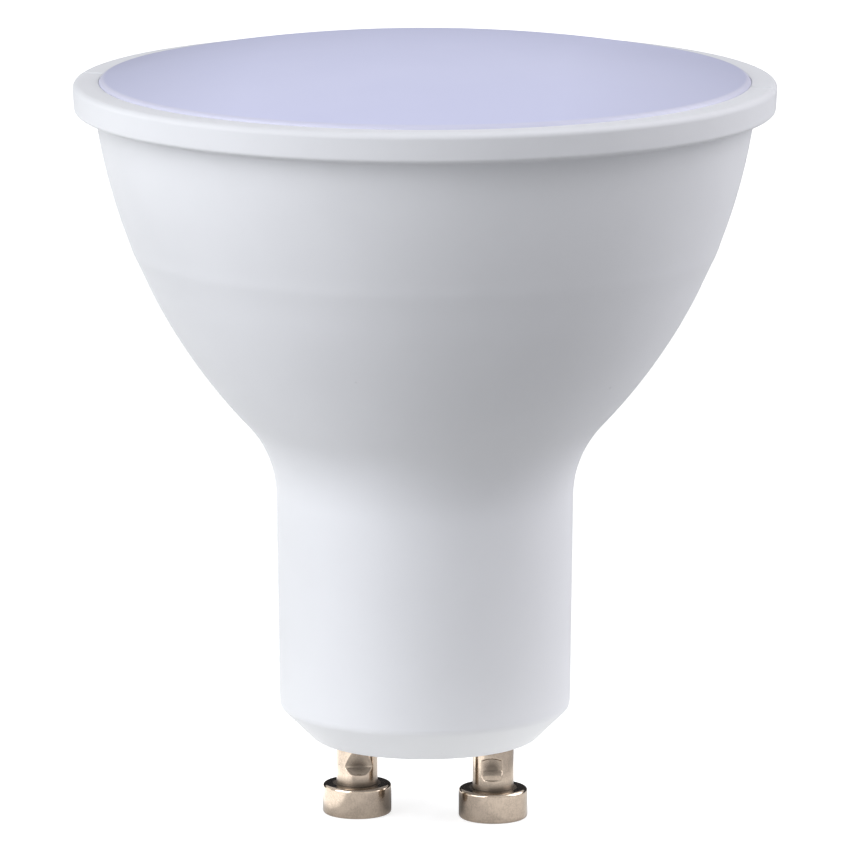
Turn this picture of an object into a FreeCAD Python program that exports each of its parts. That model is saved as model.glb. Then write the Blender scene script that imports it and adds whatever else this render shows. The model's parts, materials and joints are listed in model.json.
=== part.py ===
import FreeCAD, Part
import math
import os
import re
import Sketcher

# Reflector-shaped plug-in spotlight lamp. The row's frame has +Z from the two
# contact pins to the light-giving face, the pins on the X axis, and its origin
# between the flat ends of the pins. The crimps of the pins face -Y.

# Driving sizes: name, value in millimetres (or a count, or degrees), meaning.
SIZES = [
    ("pin_spacing", 10.0, "between the axes of the two contact pins"),
    ("pin_head_diameter", 5.0, "head that the lamp holder grips"),
    ("pin_head_height", 2.2, "height of the head"),
    ("pin_head_rounding", 0.22, "rounding of the head's two edges"),
    ("pin_stem_diameter", 3.0, "stem between head and base"),
    ("pin_tenon_diameter", 2.4, "part of the pin inside the base floor"),
    ("pin_rivet_diameter", 3.8, "rolled-over upper end of the pin"),
    ("pin_rivet_height", 0.5, "thickness of the rolled-over end"),
    ("pin_bore_diameter", 1.3, "bore that takes the lead"),
    ("pin_bore_start", 0.1, "bore's blind end above the head"),
    ("crimp_width", 1.6, "width of the tool mark on a stem"),
    ("crimp_depth", 0.5, "depth of the upper part of the mark"),
    ("crimp_step_depth", 0.3, "depth of the lower part of the mark"),
    ("crimp_arch_radius", 1.6, "arched upper edge of the mark"),
    ("right_crimp_start", 0.35, "mark on the +X pin, above the head"),
    ("right_crimp_ledge", 0.53, "height of that mark's lower part"),
    ("right_crimp_rise", 1.02, "height of that mark's upper part"),
    ("left_crimp_start", 0.2, "mark on the -X pin, above the head"),
    ("left_crimp_ledge", 0.47, "height of that mark's lower part"),
    ("left_crimp_rise", 0.43, "height of that mark's upper part"),
    ("pin_stem_length", 3.75, "stem from the head to the base"),
    ("base_bevel_width", 2.425, "width of the base's bevel"),
    ("base_rounding", 0.6, "rounding between the underside and the base's bevel"),
    ("base_margin", 5.525, "from a pin's axis out to the neck's outside"),
    ("base_bevel_height", 2.4, "height of the base's bevel"),
    ("neck_foot_rounding", 0.8, "rounding between the bevel and the neck"),
    ("neck_flare", 0.235, "how far the neck widens a side up to the bell"),
    ("neck_length", 18.75, "from the bevel to where the neck's line meets the bell"),
    ("neck_blend_radius", 8.1, "hollow blend from neck to bell"),
    ("rim_flange", 1.6, "how far the rim stands out from the bell"),
    ("bell_radius", 40.8, "round section of the bell"),
    ("rim_diameter", 50.5, "outside of the rim"),
    ("bell_height", 24.8, "from the neck's meeting line to the rim"),
    ("rim_height", 2.1, "height of the rim"),
    ("rim_draft", 0.12, "how far the rim draws in towards its underside"),
    ("rim_rounding", 0.22, "rounding of the rim's edges"),
    ("rim_root_rounding", 0.5, "rounding between the bell and the rim's underside"),
    ("housing_wall", 1.6, "wall of the neck and the bell"),
    ("floor_thickness", 2.6, "floor of the base"),
    ("pin_boss_diameter", 4.6, "boss round each pin inside the base"),
    ("pin_boss_height", 1.0, "height of that boss above the floor"),
    ("rim_land", 1.85, "flat face of the rim round the cover"),
    ("cover_recess_depth", 1.8, "depth of the recess for the cover"),
    ("snap_drop", 1.5, "middle of the groove that holds the cover, below its ledge"),
    ("snap_groove_width", 1.0, "height of that groove"),
    ("snap_groove_depth", 0.45, "depth of that groove"),
    ("seat_depth", 10.2, "seat of the heat spreader below the rim"),
    ("seat_reach", 0.5, "how far the seat ring reaches in under the light board"),
    ("seat_thickness", 1.0, "seat ring at its inner edge"),
    ("seat_slope", 1.5, "height of the seat ring's sloping underside"),
    ("seat_rib_count", 8, "ribs that carry the seat ring"),
    ("seat_rib_width", 1.0, "thickness of a rib"),
    ("seat_rib_reach", 3.3, "how far the ribs reach in under the light board"),
    ("seat_rib_height", 6.5, "height of a rib"),
    ("screw_inset", 2.3, "screws of the light board from its edge"),
    ("screw_boss_diameter", 4.4, "boss for a screw"),
    ("screw_boss_depth", 3.4, "depth of that boss below the seat"),
    ("rail_stop", 3.1, "rails that hold the driver board end below the bell"),
    ("rail_width", 1.0, "thickness of a rail"),
    ("rail_grip", 1.0, "how far a rail overlaps the board's edge"),
    ("rail_gap", 0.1, "play between a rail and the board"),
    ("cover_gap", 0.05, "play between the cover and the rim"),
    ("cover_stand", 0.2, "outer edge of the domed cover above the rim"),
    ("cover_rise", 2.5, "crown of the domed cover above its edge"),
    ("cover_wall", 1.4, "wall of the cover"),
    ("cover_edge_rounding", 0.45, "rounding of the cover's edge"),
    ("skirt_length", 2.5, "cover's skirt below the ledge"),
    ("skirt_gap", 0.2, "play between the skirt and the bell"),
    ("skirt_wall", 1.1, "wall of the skirt"),
    ("snap_lug_count", 4, "lugs on the skirt"),
    ("snap_lug_angle", 18.0, "degrees that one lug takes up"),
    ("spreader_wall", 0.8, "sheet of the heat spreader"),
    ("spreader_height", 5.8, "height of the heat spreader"),
    ("spreader_corner", 1.2, "drawn corner of the heat spreader"),
    ("light_board_play", 0.18, "play between the round light board and the heat spreader"),
    ("light_board_thickness", 1.0, "thickness of that board"),
    ("light_chip_count", 8, "light chips on the board"),
    ("light_chip_circle", 24.0, "circle that the chips lie on"),
    ("light_chip_length", 3.5, "chip across the circle"),
    ("light_chip_width", 2.8, "chip along the circle"),
    ("light_chip_height", 0.8, "thickness of a chip"),
    ("light_chip_window", 2.4, "round window of a chip"),
    ("light_chip_window_depth", 0.2, "depth of that window"),
    ("screw_diameter", 2.0, "thread of a light board screw"),
    ("screw_clearance", 0.2, "play round the screws in the board and the spreader"),
    ("screw_length", 4.4, "screw below its head"),
    ("screw_head_diameter", 3.6, "head of the screw"),
    ("screw_head_height", 1.3, "height of the head"),
    ("screw_slot_width", 0.5, "arm of the cross recess"),
    ("screw_slot_length", 2.2, "length of the cross recess"),
    ("screw_slot_depth", 0.7, "depth of the cross recess"),
    ("board_face", 3.0, "front face of the driver board from the lamp's axis"),
    ("board_thickness", 1.2, "thickness of the driver board"),
    ("board_side_play", 0.18, "play between the driver board and the neck"),
    ("board_shoulder_width", 2.5, "how far the driver board widens a side inside the bell"),
    ("board_shoulder_rise", 3.7, "driver board has its full width above the neck's line"),
    ("board_shoulder_drop", 2.6, "height of the board's sloping shoulders"),
    ("board_top_gap", 3.1, "driver board's upper edge below the seat"),
    ("leg_diameter", 0.6, "wire legs of the board's parts"),
    ("leg_bend", 0.8, "bend of a leg at its middle line"),
    ("leg_tail", 0.8, "leg behind the board"),
    ("hole_play", 0.2, "hole in a board more than the wire in it"),
    ("input_can_diameter", 8.0, "input capacitor"),
    ("can_top_gap", 0.5, "input capacitor's upper end below the board's"),
    ("input_can_place", -4.6, "input capacitor's axis along X"),
    ("input_leg_pitch", 3.5, "between the input capacitor's legs"),
    ("output_can_diameter", 6.3, "output capacitor"),
    ("output_can_lack", 0.5, "how much shorter the output capacitor is"),
    ("output_can_place", 4.2, "output capacitor's axis along X"),
    ("output_leg_pitch", 2.5, "between the output capacitor's legs"),
    ("can_foot_drop", 0.5, "lower ends of both capacitors below the neck's line"),
    ("can_leg_drop", 1.6, "height that the capacitors' legs come down"),
    ("can_bead_height", 1.2, "rolled groove of a can above its foot"),
    ("can_bead_depth", 0.3, "depth of the rolled groove"),
    ("choke_drop", 6.9, "axis of the choke below the neck's line"),
    ("choke_diameter", 7.0, "flanges of the choke's core"),
    ("choke_length", 8.0, "length of the choke's core"),
    ("choke_flange", 1.2, "thickness of a flange"),
    ("choke_hub_diameter", 3.2, "hub of the choke's core"),
    ("winding_diameter", 6.2, "outside of the copper winding"),
    ("winding_tail_diameter", 0.5, "wire ends of the winding"),
    ("winding_tail_place", 2.6, "wire ends from the choke's axis"),
    ("choke_notch_width", 0.9, "notch in the flange for a wire end"),
    ("fuse_rise", 4.65, "axis of the fuse resistor above the floor"),
    ("fuse_diameter", 2.4, "body of the fuse resistor"),
    ("fuse_length", 5.0, "length of its body"),
    ("fuse_rounding", 0.5, "rounding of its ends"),
    ("fuse_leg_pitch", 6.8, "between its legs"),
    ("bridge_rise", 3.45, "middle of the bridge rectifier above the floor"),
    ("bridge_width", 3.9, "rectifier across its rows of legs"),
    ("bridge_length", 4.7, "rectifier along its rows of legs"),
    ("bridge_thickness", 2.4, "thickness of the rectifier"),
    ("bridge_leg_pitch", 2.5, "between the rectifier's legs"),
    ("driver_rise", 8.65, "middle of the driver chip above the floor"),
    ("driver_width", 3.9, "driver chip across its rows of legs"),
    ("driver_length", 4.9, "driver chip along its rows of legs"),
    ("driver_thickness", 1.5, "thickness of the driver chip"),
    ("driver_leg_pitch", 1.27, "between the driver chip's legs"),
    ("diode_rise", 1.9, "middle of the freewheel diode above the neck's line"),
    ("diode_width", 4.3, "diode across its two legs"),
    ("diode_length", 2.6, "diode along its face"),
    ("diode_thickness", 2.1, "thickness of the diode"),
    ("diode_leg_pitch", 1.5, "width of the diode's foot"),
    ("chip_leg_width", 0.45, "leg of a surface-mounted part"),
    ("chip_leg_sheet", 0.2, "sheet that such legs are bent from"),
    ("chip_leg_reach", 1.0, "how far such a leg stands out"),
    ("mains_lead_diameter", 1.2, "lead from a pin to the driver board"),
    ("mains_lead_bend", 3.0, "bends of that lead"),
    ("mains_lead_run", 2.45, "straight run of that lead above the floor"),
    ("mains_lead_length", 10.45, "upper end of that lead above the floor"),
    ("light_lead_diameter", 1.0, "lead from the driver board to the light board"),
    ("light_lead_place", 3.0, "those leads from the middle, along X"),
    ("light_lead_overlap", 5.6, "how far those leads run down behind the board"),
    ("light_lead_stand", 1.5, "where those leads turn over, above the light board"),
    ("light_lead_bend", 1.5, "bends of those leads"),
]

# Sizes that follow from those: name, formula, meaning.
FOLLOWING = [
    ("pin_bore_floor", "pin_head_height + pin_bore_start", "height of the bore's blind end"),
    ("right_crimp_bottom", "pin_head_height + right_crimp_start",
     "lower edge of the mark on the +X pin"),
    ("right_crimp_step", "right_crimp_bottom + right_crimp_ledge",
     "step in the mark on the +X pin"),
    ("right_crimp_top", "right_crimp_step + right_crimp_rise",
     "upper corners of the mark on the +X pin"),
    ("left_crimp_bottom", "pin_head_height + left_crimp_start",
     "lower edge of the mark on the -X pin"),
    ("left_crimp_step", "left_crimp_bottom + left_crimp_ledge", "step in the mark on the -X pin"),
    ("left_crimp_top", "left_crimp_step + left_crimp_rise",
     "upper corners of the mark on the -X pin"),
    ("base_height", "pin_head_height + pin_stem_length",
     "underside of the base above the pin ends"),
    ("neck_foot_diameter", "pin_spacing + 2 * base_margin", "neck just above the base's bevel"),
    ("base_flat_diameter", "neck_foot_diameter - 2 * base_bevel_width",
     "flat underside of the base"),
    ("neck_foot_height", "base_height + base_bevel_height", "upper edge of the base's bevel"),
    ("neck_top_diameter", "neck_foot_diameter + 2 * neck_flare",
     "neck where its line meets the bell"),
    ("neck_top_height", "neck_foot_height + neck_length",
     "height of that meeting line before it is blended"),
    ("bell_mouth_diameter", "rim_diameter - 2 * rim_flange", "bell just under the rim"),
    ("rim_under_height", "neck_top_height + bell_height", "underside of the rim"),
    ("rim_top_height", "rim_under_height + rim_height", "flat top of the rim"),
    ("cover_recess_diameter", "rim_diameter - 2 * rim_land", "recess in the rim for the cover"),
    ("cover_ledge_height", "rim_top_height - cover_recess_depth", "ledge that the cover rests on"),
    ("snap_height", "cover_ledge_height - snap_drop", "middle of that groove"),
    ("seat_height", "rim_under_height - seat_depth", "seat of the heat spreader inside the bell"),
    ("seat_rib_foot", "seat_height - seat_rib_height", "lower end of a rib"),
    ("rail_top_height", "neck_top_height - rail_stop", "upper end of those rails"),
    ("cover_edge_height", "rim_top_height + cover_stand", "outer edge of the domed cover"),
    ("cover_top_height", "cover_edge_height + cover_rise", "crown of the domed cover"),
    ("skirt_bottom_height", "cover_ledge_height - skirt_length", "lower end of the cover's skirt"),
    ("spreader_rim_height", "seat_height + spreader_height", "upper edge of the heat spreader"),
    ("board_shoulder_height", "neck_top_height + board_shoulder_rise",
     "height where the board has its full width"),
    ("board_top_height", "seat_height - board_top_gap", "upper edge of the driver board"),
    ("can_foot_height", "neck_top_height - can_foot_drop", "lower ends of both capacitors"),
    ("input_can_length", "board_top_height - can_foot_height - can_top_gap",
     "length of the input capacitor"),
    ("output_can_length", "input_can_length - output_can_lack",
     "length of the output capacitor"),
    ("choke_height", "neck_top_height - choke_drop", "axis of the choke"),
    ("diode_height", "neck_top_height + diode_rise", "middle of the freewheel diode"),
    # The bell's section is one arc through the neck's top and the bell's mouth. Its
    # centre gives the radius of every surface that runs parallel to the bell.
    ("chord_out", "(bell_mouth_diameter - neck_top_diameter) / 2", "width of the bell's section"),
    ("chord_up", "rim_under_height - neck_top_height", "height of the bell's section"),
    ("chord", "sqrt(chord_out ^ 2 + chord_up ^ 2)", "chord of the bell's arc"),
    ("chord_to_centre", "sqrt(bell_radius ^ 2 - chord ^ 2 / 4)",
     "from that chord to the arc's centre"),
    ("bell_centre_out",
     "(bell_mouth_diameter + neck_top_diameter) / 4 - chord_to_centre * chord_up / chord",
     "centre of the bell's arc, out from the axis"),
    ("bell_centre_up",
     "(rim_under_height + neck_top_height) / 2 + chord_to_centre * chord_out / chord",
     "centre of the bell's arc, up from the pin ends"),
    ("floor_top_height", "base_height + floor_thickness", "upper face of the base floor"),
    ("pin_boss_top", "floor_top_height + pin_boss_height", "upper end of the pin bosses"),
    ("neck_bore", "neck_top_diameter / 2 - housing_wall", "inside radius of the neck's top"),
    ("light_board_foot_height", "seat_height + spreader_wall", "underside of the light board"),
    ("light_board_top_height", "light_board_foot_height + light_board_thickness",
     "upper face of the light board"),
    ("light_board_diameter",
     "2 * (bell_centre_out + sqrt((bell_radius - housing_wall - spreader_wall) ^ 2 -"
     " (bell_centre_up - light_board_foot_height) ^ 2) - light_board_play)",
     "round board that carries the light chips"),
    ("seat_bore", "light_board_diameter - 2 * seat_reach", "inside of the seat ring"),
    ("seat_rib_bore", "light_board_diameter - 2 * seat_rib_reach",
     "circle that the ribs' inner edges lie on"),
    ("screw_circle", "light_board_diameter - 2 * screw_inset",
     "circle of the two screws of the light board"),
    ("board_back", "board_face + board_thickness", "back of the driver board"),
    ("board_foot_width",
     "2 * (sqrt((neck_foot_diameter / 2 - housing_wall) ^ 2 - board_back ^ 2) -"
     " board_side_play)",
     "driver board between its rails"),
    ("board_head_width", "board_foot_width + 2 * board_shoulder_width",
     "driver board inside the bell"),
    ("fuse_height", "floor_top_height + fuse_rise", "axis of the fuse resistor"),
    ("bridge_height", "floor_top_height + bridge_rise", "middle of the bridge rectifier"),
    ("driver_height", "floor_top_height + driver_rise", "middle of the driver chip"),
    ("mains_lead_rise", "floor_top_height + mains_lead_run",
     "height where that lead starts to bend"),
    ("mains_lead_top", "floor_top_height + mains_lead_length", "upper end of that lead"),
    ("light_lead_foot", "board_top_height - light_lead_overlap", "lower ends of those leads"),
    ("light_lead_crest", "light_board_top_height + light_lead_stand",
     "height where those leads start to turn over"),
    ("mains_lead_shift", "board_face - mains_lead_diameter / 2", "how far a mains lead steps back"),
    ("light_lead_depth", "board_back + light_lead_diameter / 2",
     "middle of the light board's leads"),
    ("cover_radius", "cover_recess_diameter / 2 - cover_gap", "outer edge of the cover"),
    ("dome_radius", "(cover_radius ^ 2 + cover_rise ^ 2) / (2 * cover_rise)", "sphere of the dome"),
]
NAMES = {row[0] for row in SIZES + FOLLOWING}
TOUCH = 0.02

document = FreeCAD.newDocument("spotlight_lamp")
sheet = document.addObject("Spreadsheet::Sheet", "sizes")
for row_number, (size_name, value, meaning) in enumerate(SIZES + FOLLOWING, start=1):
    sheet.set(f"A{row_number}", size_name)
    sheet.set(f"B{row_number}", f"={value}")
    sheet.set(f"C{row_number}", meaning)
    sheet.setAlias(f"B{row_number}", size_name)
document.recompute()


def bound(formula):
    """Give a formula of size names the form that the document's expressions take."""
    def cell(match):
        word = match.group()
        return f"sizes.{word}" if word in NAMES else word
    return re.sub(r"[a-z_][a-z0-9_]*", cell, formula)


def number(formula):
    """Work a formula of size names out."""
    return float(sheet.evalExpression(bound(formula)))


def bell_radius_at(height, inset):
    """Radius, at a height, of the surface that lies inset inside the bell."""
    return (f"(bell_centre_out + sqrt((bell_radius - ({inset})) ^ 2"
            f" - (bell_centre_up - ({height})) ^ 2))")


def bell_height_at(radius, inset):
    """Height at which the surface that lies inset inside the bell has a radius."""
    return (f"(bell_centre_up - sqrt((bell_radius - ({inset})) ^ 2"
            f" - (({radius}) - bell_centre_out) ^ 2))")


def new_body(name):
    """Start a sub-part under its own name."""
    body = document.addObject("PartDesign::Body", name)
    body.Label = name
    return body


def origin_feature(body, role):
    """Find one of the body's own origin planes or axes."""
    return next(item for item in body.Origin.OriginFeatures if item.Role == role)


def new_sketch(body, name, role, lift):
    """Attach a sketch to an origin plane of the body, lifted along its normal."""
    sketch = body.newObject("Sketcher::SketchObject", name)
    sketch.AttachmentSupport = (origin_feature(body, role), [""])
    sketch.MapMode = "FlatFace"
    sketch.setExpression("AttachmentOffset.Base.z", bound(lift))
    return sketch


def hold(sketch, kind, geometry, formula):
    """Add a constraint whose value is a formula of the sizes."""
    index = sketch.addConstraint(Sketcher.Constraint(kind, *geometry, number(formula)))
    sketch.setExpression(f"Constraints[{index}]", bound(formula))


def hold_point(sketch, leg, end, along, up):
    """Hold a point of a sketch at two formulas from the sketch's origin."""
    if along == "0":
        sketch.addConstraint(Sketcher.Constraint("PointOnObject", leg, end, -2))
    else:
        hold(sketch, "DistanceX", (-1, 1, leg, end), along)
    if up == "0":
        sketch.addConstraint(Sketcher.Constraint("PointOnObject", leg, end, -1))
    else:
        hold(sketch, "DistanceY", (-1, 1, leg, end), up)


def arc_between(start, end, radius, turn):
    """Give the arc from start to end that turns left or right, always run leftwards."""
    if turn == "right":
        start, end = end, start
    chord = end.sub(start)
    side = FreeCAD.Vector(-chord.y, chord.x, 0).normalize()
    reach = math.sqrt(max(radius ** 2 - chord.Length ** 2 / 4, 0))
    centre = start.add(end).multiply(0.5).add(side.multiply(reach))
    first = math.atan2(start.y - centre.y, start.x - centre.x)
    last = math.atan2(end.y - centre.y, end.x - centre.x)
    return Part.ArcOfCircle(Part.Circle(centre, FreeCAD.Vector(0, 0, 1), radius), first, last)


def outline(body, name, role, corners, lift="0", closed=True):
    """Draw a line of corners. A corner with a radius and a turn is reached by an arc."""
    sketch = new_sketch(body, name, role, lift)
    points = [FreeCAD.Vector(number(corner[0]), number(corner[1]), 0) for corner in corners]
    legs = []
    for index, corner in enumerate(corners):
        if index == 0 and not closed:
            continue
        start = points[index - 1]
        end = points[index]
        if len(corner) == 2:
            leg = sketch.addGeometry(Part.LineSegment(start, end), False)
            legs.append((leg, 1, 2, corner))
            continue
        radius, turn = corner[2:]
        leg = sketch.addGeometry(arc_between(start, end, number(radius), turn), False)
        hold(sketch, "Radius", (leg,), radius)
        ends = (1, 2) if turn == "left" else (2, 1)
        legs.append((leg, *ends, corner))
    if not closed:
        hold_point(sketch, legs[0][0], legs[0][1], *corners[0][:2])
    for index, (leg, start_end, far_end, corner) in enumerate(legs):
        if index > 0 or closed:
            before = legs[index - 1]
            joint = ("Coincident", before[0], before[2], leg, start_end)
            sketch.addConstraint(Sketcher.Constraint(*joint))
        hold_point(sketch, leg, far_end, *corner[:2])
    return sketch


def circles(body, name, role, spots, diameters, lift="0"):
    """Draw circles of given diameters at spots."""
    sketch = new_sketch(body, name, role, lift)
    for (along, up), diameter in zip(spots, diameters):
        centre = FreeCAD.Vector(number(along), number(up), 0)
        circle = Part.Circle(centre, FreeCAD.Vector(0, 0, 1), number(diameter) / 2)
        ring = sketch.addGeometry(circle, False)
        hold_point(sketch, ring, 3, along, up)
        hold(sketch, "Diameter", (ring,), diameter)
    return sketch


def add_feature(body, kind, name, sketch):
    """Add a sketched feature to a body."""
    feature = body.newObject(f"PartDesign::{kind}", name)
    feature.Profile = sketch
    sketch.Visibility = False
    return feature


def pad(body, sketch, name, length):
    """Add material along the sketch's normal."""
    feature = add_feature(body, "Pad", name, sketch)
    feature.setExpression("Length", bound(length))
    document.recompute()
    return feature


def pocket(body, sketch, name, depth):
    """Cut against the sketch's normal."""
    feature = add_feature(body, "Pocket", name, sketch)
    feature.setExpression("Length", bound(depth))
    document.recompute()
    return feature


def revolve(body, sketch, name, kind="Revolution", angle="360"):
    """Turn a section about the body's vertical axis."""
    feature = add_feature(body, kind, name, sketch)
    feature.ReferenceAxis = (origin_feature(body, "Z_Axis"), [""])
    feature.setExpression("Angle", bound(angle))
    document.recompute()
    return feature


def pipe(body, name, path, section):
    """Run a round section along a path of lines and arcs."""
    feature = add_feature(body, "AdditivePipe", name, section)
    legs = [f"Edge{index + 1}" for index in range(len(path.Shape.Edges))]
    feature.Spine = (path, legs)
    path.Visibility = False
    document.recompute()
    return feature


def ring_edges(feature, radius, height):
    """Name the whole circles round the vertical axis with a radius and a height."""
    names = []
    for index, edge in enumerate(feature.Shape.Edges, start=1):
        if edge.Degenerated or not isinstance(edge.Curve, Part.Circle):
            continue
        centre = edge.Curve.Center
        on_axis = math.hypot(centre.x, centre.y) < TOUCH
        if on_axis and abs(edge.Curve.Radius - radius) < TOUCH and abs(centre.z - height) < TOUCH:
            names.append(f"Edge{index}")
    return names


def round_rings(body, base, name, rings, radius):
    """Round circular edges, each given by the formulas of its radius and height."""
    names = []
    for ring_radius, height in rings:
        found = ring_edges(base, number(ring_radius), number(height))
        if not found:
            raise RuntimeError(f"{name}: no edge of radius {ring_radius} at {height}")
        names.extend(found)
    feature = body.newObject("PartDesign::Fillet", name)
    feature.Base = (base, names)
    feature.setExpression("Radius", bound(radius))
    document.recompute()
    return feature


def repeat_round(body, feature, name, count):
    """Repeat a feature evenly round the vertical axis."""
    pattern = body.newObject("PartDesign::PolarPattern", name)
    pattern.Originals = [feature]
    pattern.Axis = (origin_feature(body, "Z_Axis"), [""])
    pattern.Angle = 360
    pattern.setExpression("Occurrences", bound(count))
    body.Tip = pattern
    document.recompute()
    return pattern


def mirror_across(body, features, name, role):
    """Mirror features across one of the body's origin planes."""
    mirrored = body.newObject("PartDesign::Mirrored", name)
    mirrored.Originals = features
    mirrored.MirrorPlane = (origin_feature(body, role), [""])
    body.Tip = mirrored
    document.recompute()
    return mirrored


def housing_shell(body):
    """Turn base, neck, bell and rim as one wall, then round its edges."""
    inner_corner = bell_height_at("neck_bore", "housing_wall")
    throat = bell_radius_at("cover_ledge_height", "housing_wall")
    section = outline(body, "wall_section", "XZ_Plane", [
        ("0", "base_height"),
        ("base_flat_diameter / 2", "base_height"),
        ("neck_foot_diameter / 2", "neck_foot_height"),
        ("neck_top_diameter / 2", "neck_top_height"),
        ("bell_mouth_diameter / 2", "rim_under_height", "bell_radius", "left"),
        ("rim_diameter / 2 - rim_draft", "rim_under_height"),
        ("rim_diameter / 2", "rim_top_height"),
        ("cover_recess_diameter / 2", "rim_top_height"),
        ("cover_recess_diameter / 2", "cover_ledge_height"),
        (throat, "cover_ledge_height"),
        ("neck_bore", inner_corner, "bell_radius - housing_wall", "right"),
        ("neck_foot_diameter / 2 - housing_wall", "floor_top_height"),
        ("0", "floor_top_height"),
    ])
    wall = revolve(body, section, "wall")
    outer_corner = [("neck_top_diameter / 2", "neck_top_height")]
    outer_blend = round_rings(body, wall, "outer_blend", outer_corner, "neck_blend_radius")
    inner_blend = round_rings(body, outer_blend, "inner_blend", [("neck_bore", inner_corner)],
                              "neck_blend_radius + housing_wall")
    base_edge = round_rings(body, inner_blend, "base_edge",
                            [("base_flat_diameter / 2", "base_height")], "base_rounding")
    neck_edge = round_rings(body, base_edge, "neck_edge",
                            [("neck_foot_diameter / 2", "neck_foot_height")],
                            "neck_foot_rounding")
    rim_root = round_rings(body, neck_edge, "rim_root",
                           [("bell_mouth_diameter / 2", "rim_under_height")],
                           "rim_root_rounding")
    return round_rings(body, rim_root, "rim_edges", [
        ("rim_diameter / 2 - rim_draft", "rim_under_height"),
        ("rim_diameter / 2", "rim_top_height"),
        ("cover_recess_diameter / 2", "rim_top_height"),
    ], "rim_rounding")


def snap_groove(body):
    """Cut the groove inside the throat that the cover's lugs snap into."""
    throat = bell_radius_at("snap_height", "housing_wall")
    low = "snap_height - snap_groove_width / 2"
    high = "snap_height + snap_groove_width / 2"
    section = outline(body, "snap_section", "XZ_Plane", [
        (f"{throat} - snap_groove_depth", low),
        (f"{throat} + snap_groove_depth", low),
        (f"{throat} + snap_groove_depth", high),
        (f"{throat} - snap_groove_depth", high),
    ])
    revolve(body, section, "snap_groove", kind="Groove")


def spreader_seat(body):
    """Add the ring and the ribs inside the bell that carry the heat spreader."""
    middle = "housing_wall / 2"
    slope_foot = "seat_height - seat_thickness - seat_slope"
    ring = outline(body, "seat_section", "XZ_Plane", [
        ("seat_bore / 2", "seat_height - seat_thickness"),
        (bell_radius_at(slope_foot, middle), slope_foot),
        (bell_radius_at("seat_height", middle), "seat_height"),
        ("seat_bore / 2", "seat_height"),
    ])
    revolve(body, ring, "seat_ring")
    rib = outline(body, "rib_section", "XZ_Plane", [
        ("seat_rib_bore / 2", "seat_rib_foot"),
        (bell_radius_at("seat_rib_foot", middle), "seat_rib_foot"),
        (bell_radius_at("seat_height", middle), "seat_height"),
        ("seat_rib_bore / 2", "seat_height"),
    ], lift="-seat_rib_width / 2")
    first_rib = pad(body, rib, "seat_rib", "seat_rib_width")
    repeat_round(body, first_rib, "seat_ribs", "seat_rib_count")
    spots = [("0", "screw_circle / 2"), ("0", "-screw_circle / 2")]
    bosses = circles(body, "screw_boss_outline", "XY_Plane", spots,
                     ["screw_boss_diameter"] * 2, "seat_height - screw_boss_depth")
    pad(body, bosses, "screw_bosses", "screw_boss_depth")
    holes = circles(body, "screw_hole_outline", "XY_Plane", spots,
                    ["screw_diameter"] * 2, "seat_height")
    depth = "screw_length - light_board_thickness - spreader_wall"
    pocket(body, holes, "screw_holes", depth)


def pin_sockets(body):
    """Add the two bosses in the base and bore them for the pins' tenons."""
    spots = [("pin_spacing / 2", "0"), ("-pin_spacing / 2", "0")]
    bosses = circles(body, "pin_boss_outline", "XY_Plane", spots,
                     ["pin_boss_diameter"] * 2, "floor_top_height")
    pad(body, bosses, "pin_bosses", "pin_boss_height")
    holes = circles(body, "pin_hole_outline", "XY_Plane", spots,
                    ["pin_tenon_diameter"] * 2, "pin_boss_top")
    pocket(body, holes, "pin_holes", "floor_thickness + pin_boss_height")


def board_rails(body):
    """Add the rails on both sides of the neck that the driver board slides into."""
    reach = "(neck_foot_diameter / 2 - housing_wall / 2)"
    inner = "board_foot_width / 2 - rail_grip"
    front = "(board_face - rail_gap)"
    back = "(board_back + rail_gap)"
    rails = []
    for name, near, far in (("front_rail", f"({front} - rail_width)", front),
                            ("back_rail", back, f"({back} + rail_width)")):
        foot = outline(body, f"{name}_outline", "XY_Plane", [
            (inner, near),
            (f"sqrt({reach} ^ 2 - {near} ^ 2)", near),
            (f"sqrt({reach} ^ 2 - {far} ^ 2)", far, reach, "left"),
            (inner, far),
        ], lift="floor_top_height")
        rails.append(pad(body, foot, name, "rail_top_height - floor_top_height"))
    mirror_across(body, rails, "opposite_rails", "YZ_Plane")


def make_housing():
    """Moulded housing: base, neck, bell and rim in one piece."""
    body = new_body("housing")
    housing_shell(body)
    snap_groove(body)
    spreader_seat(body)
    pin_sockets(body)
    board_rails(body)
    return body


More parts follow.
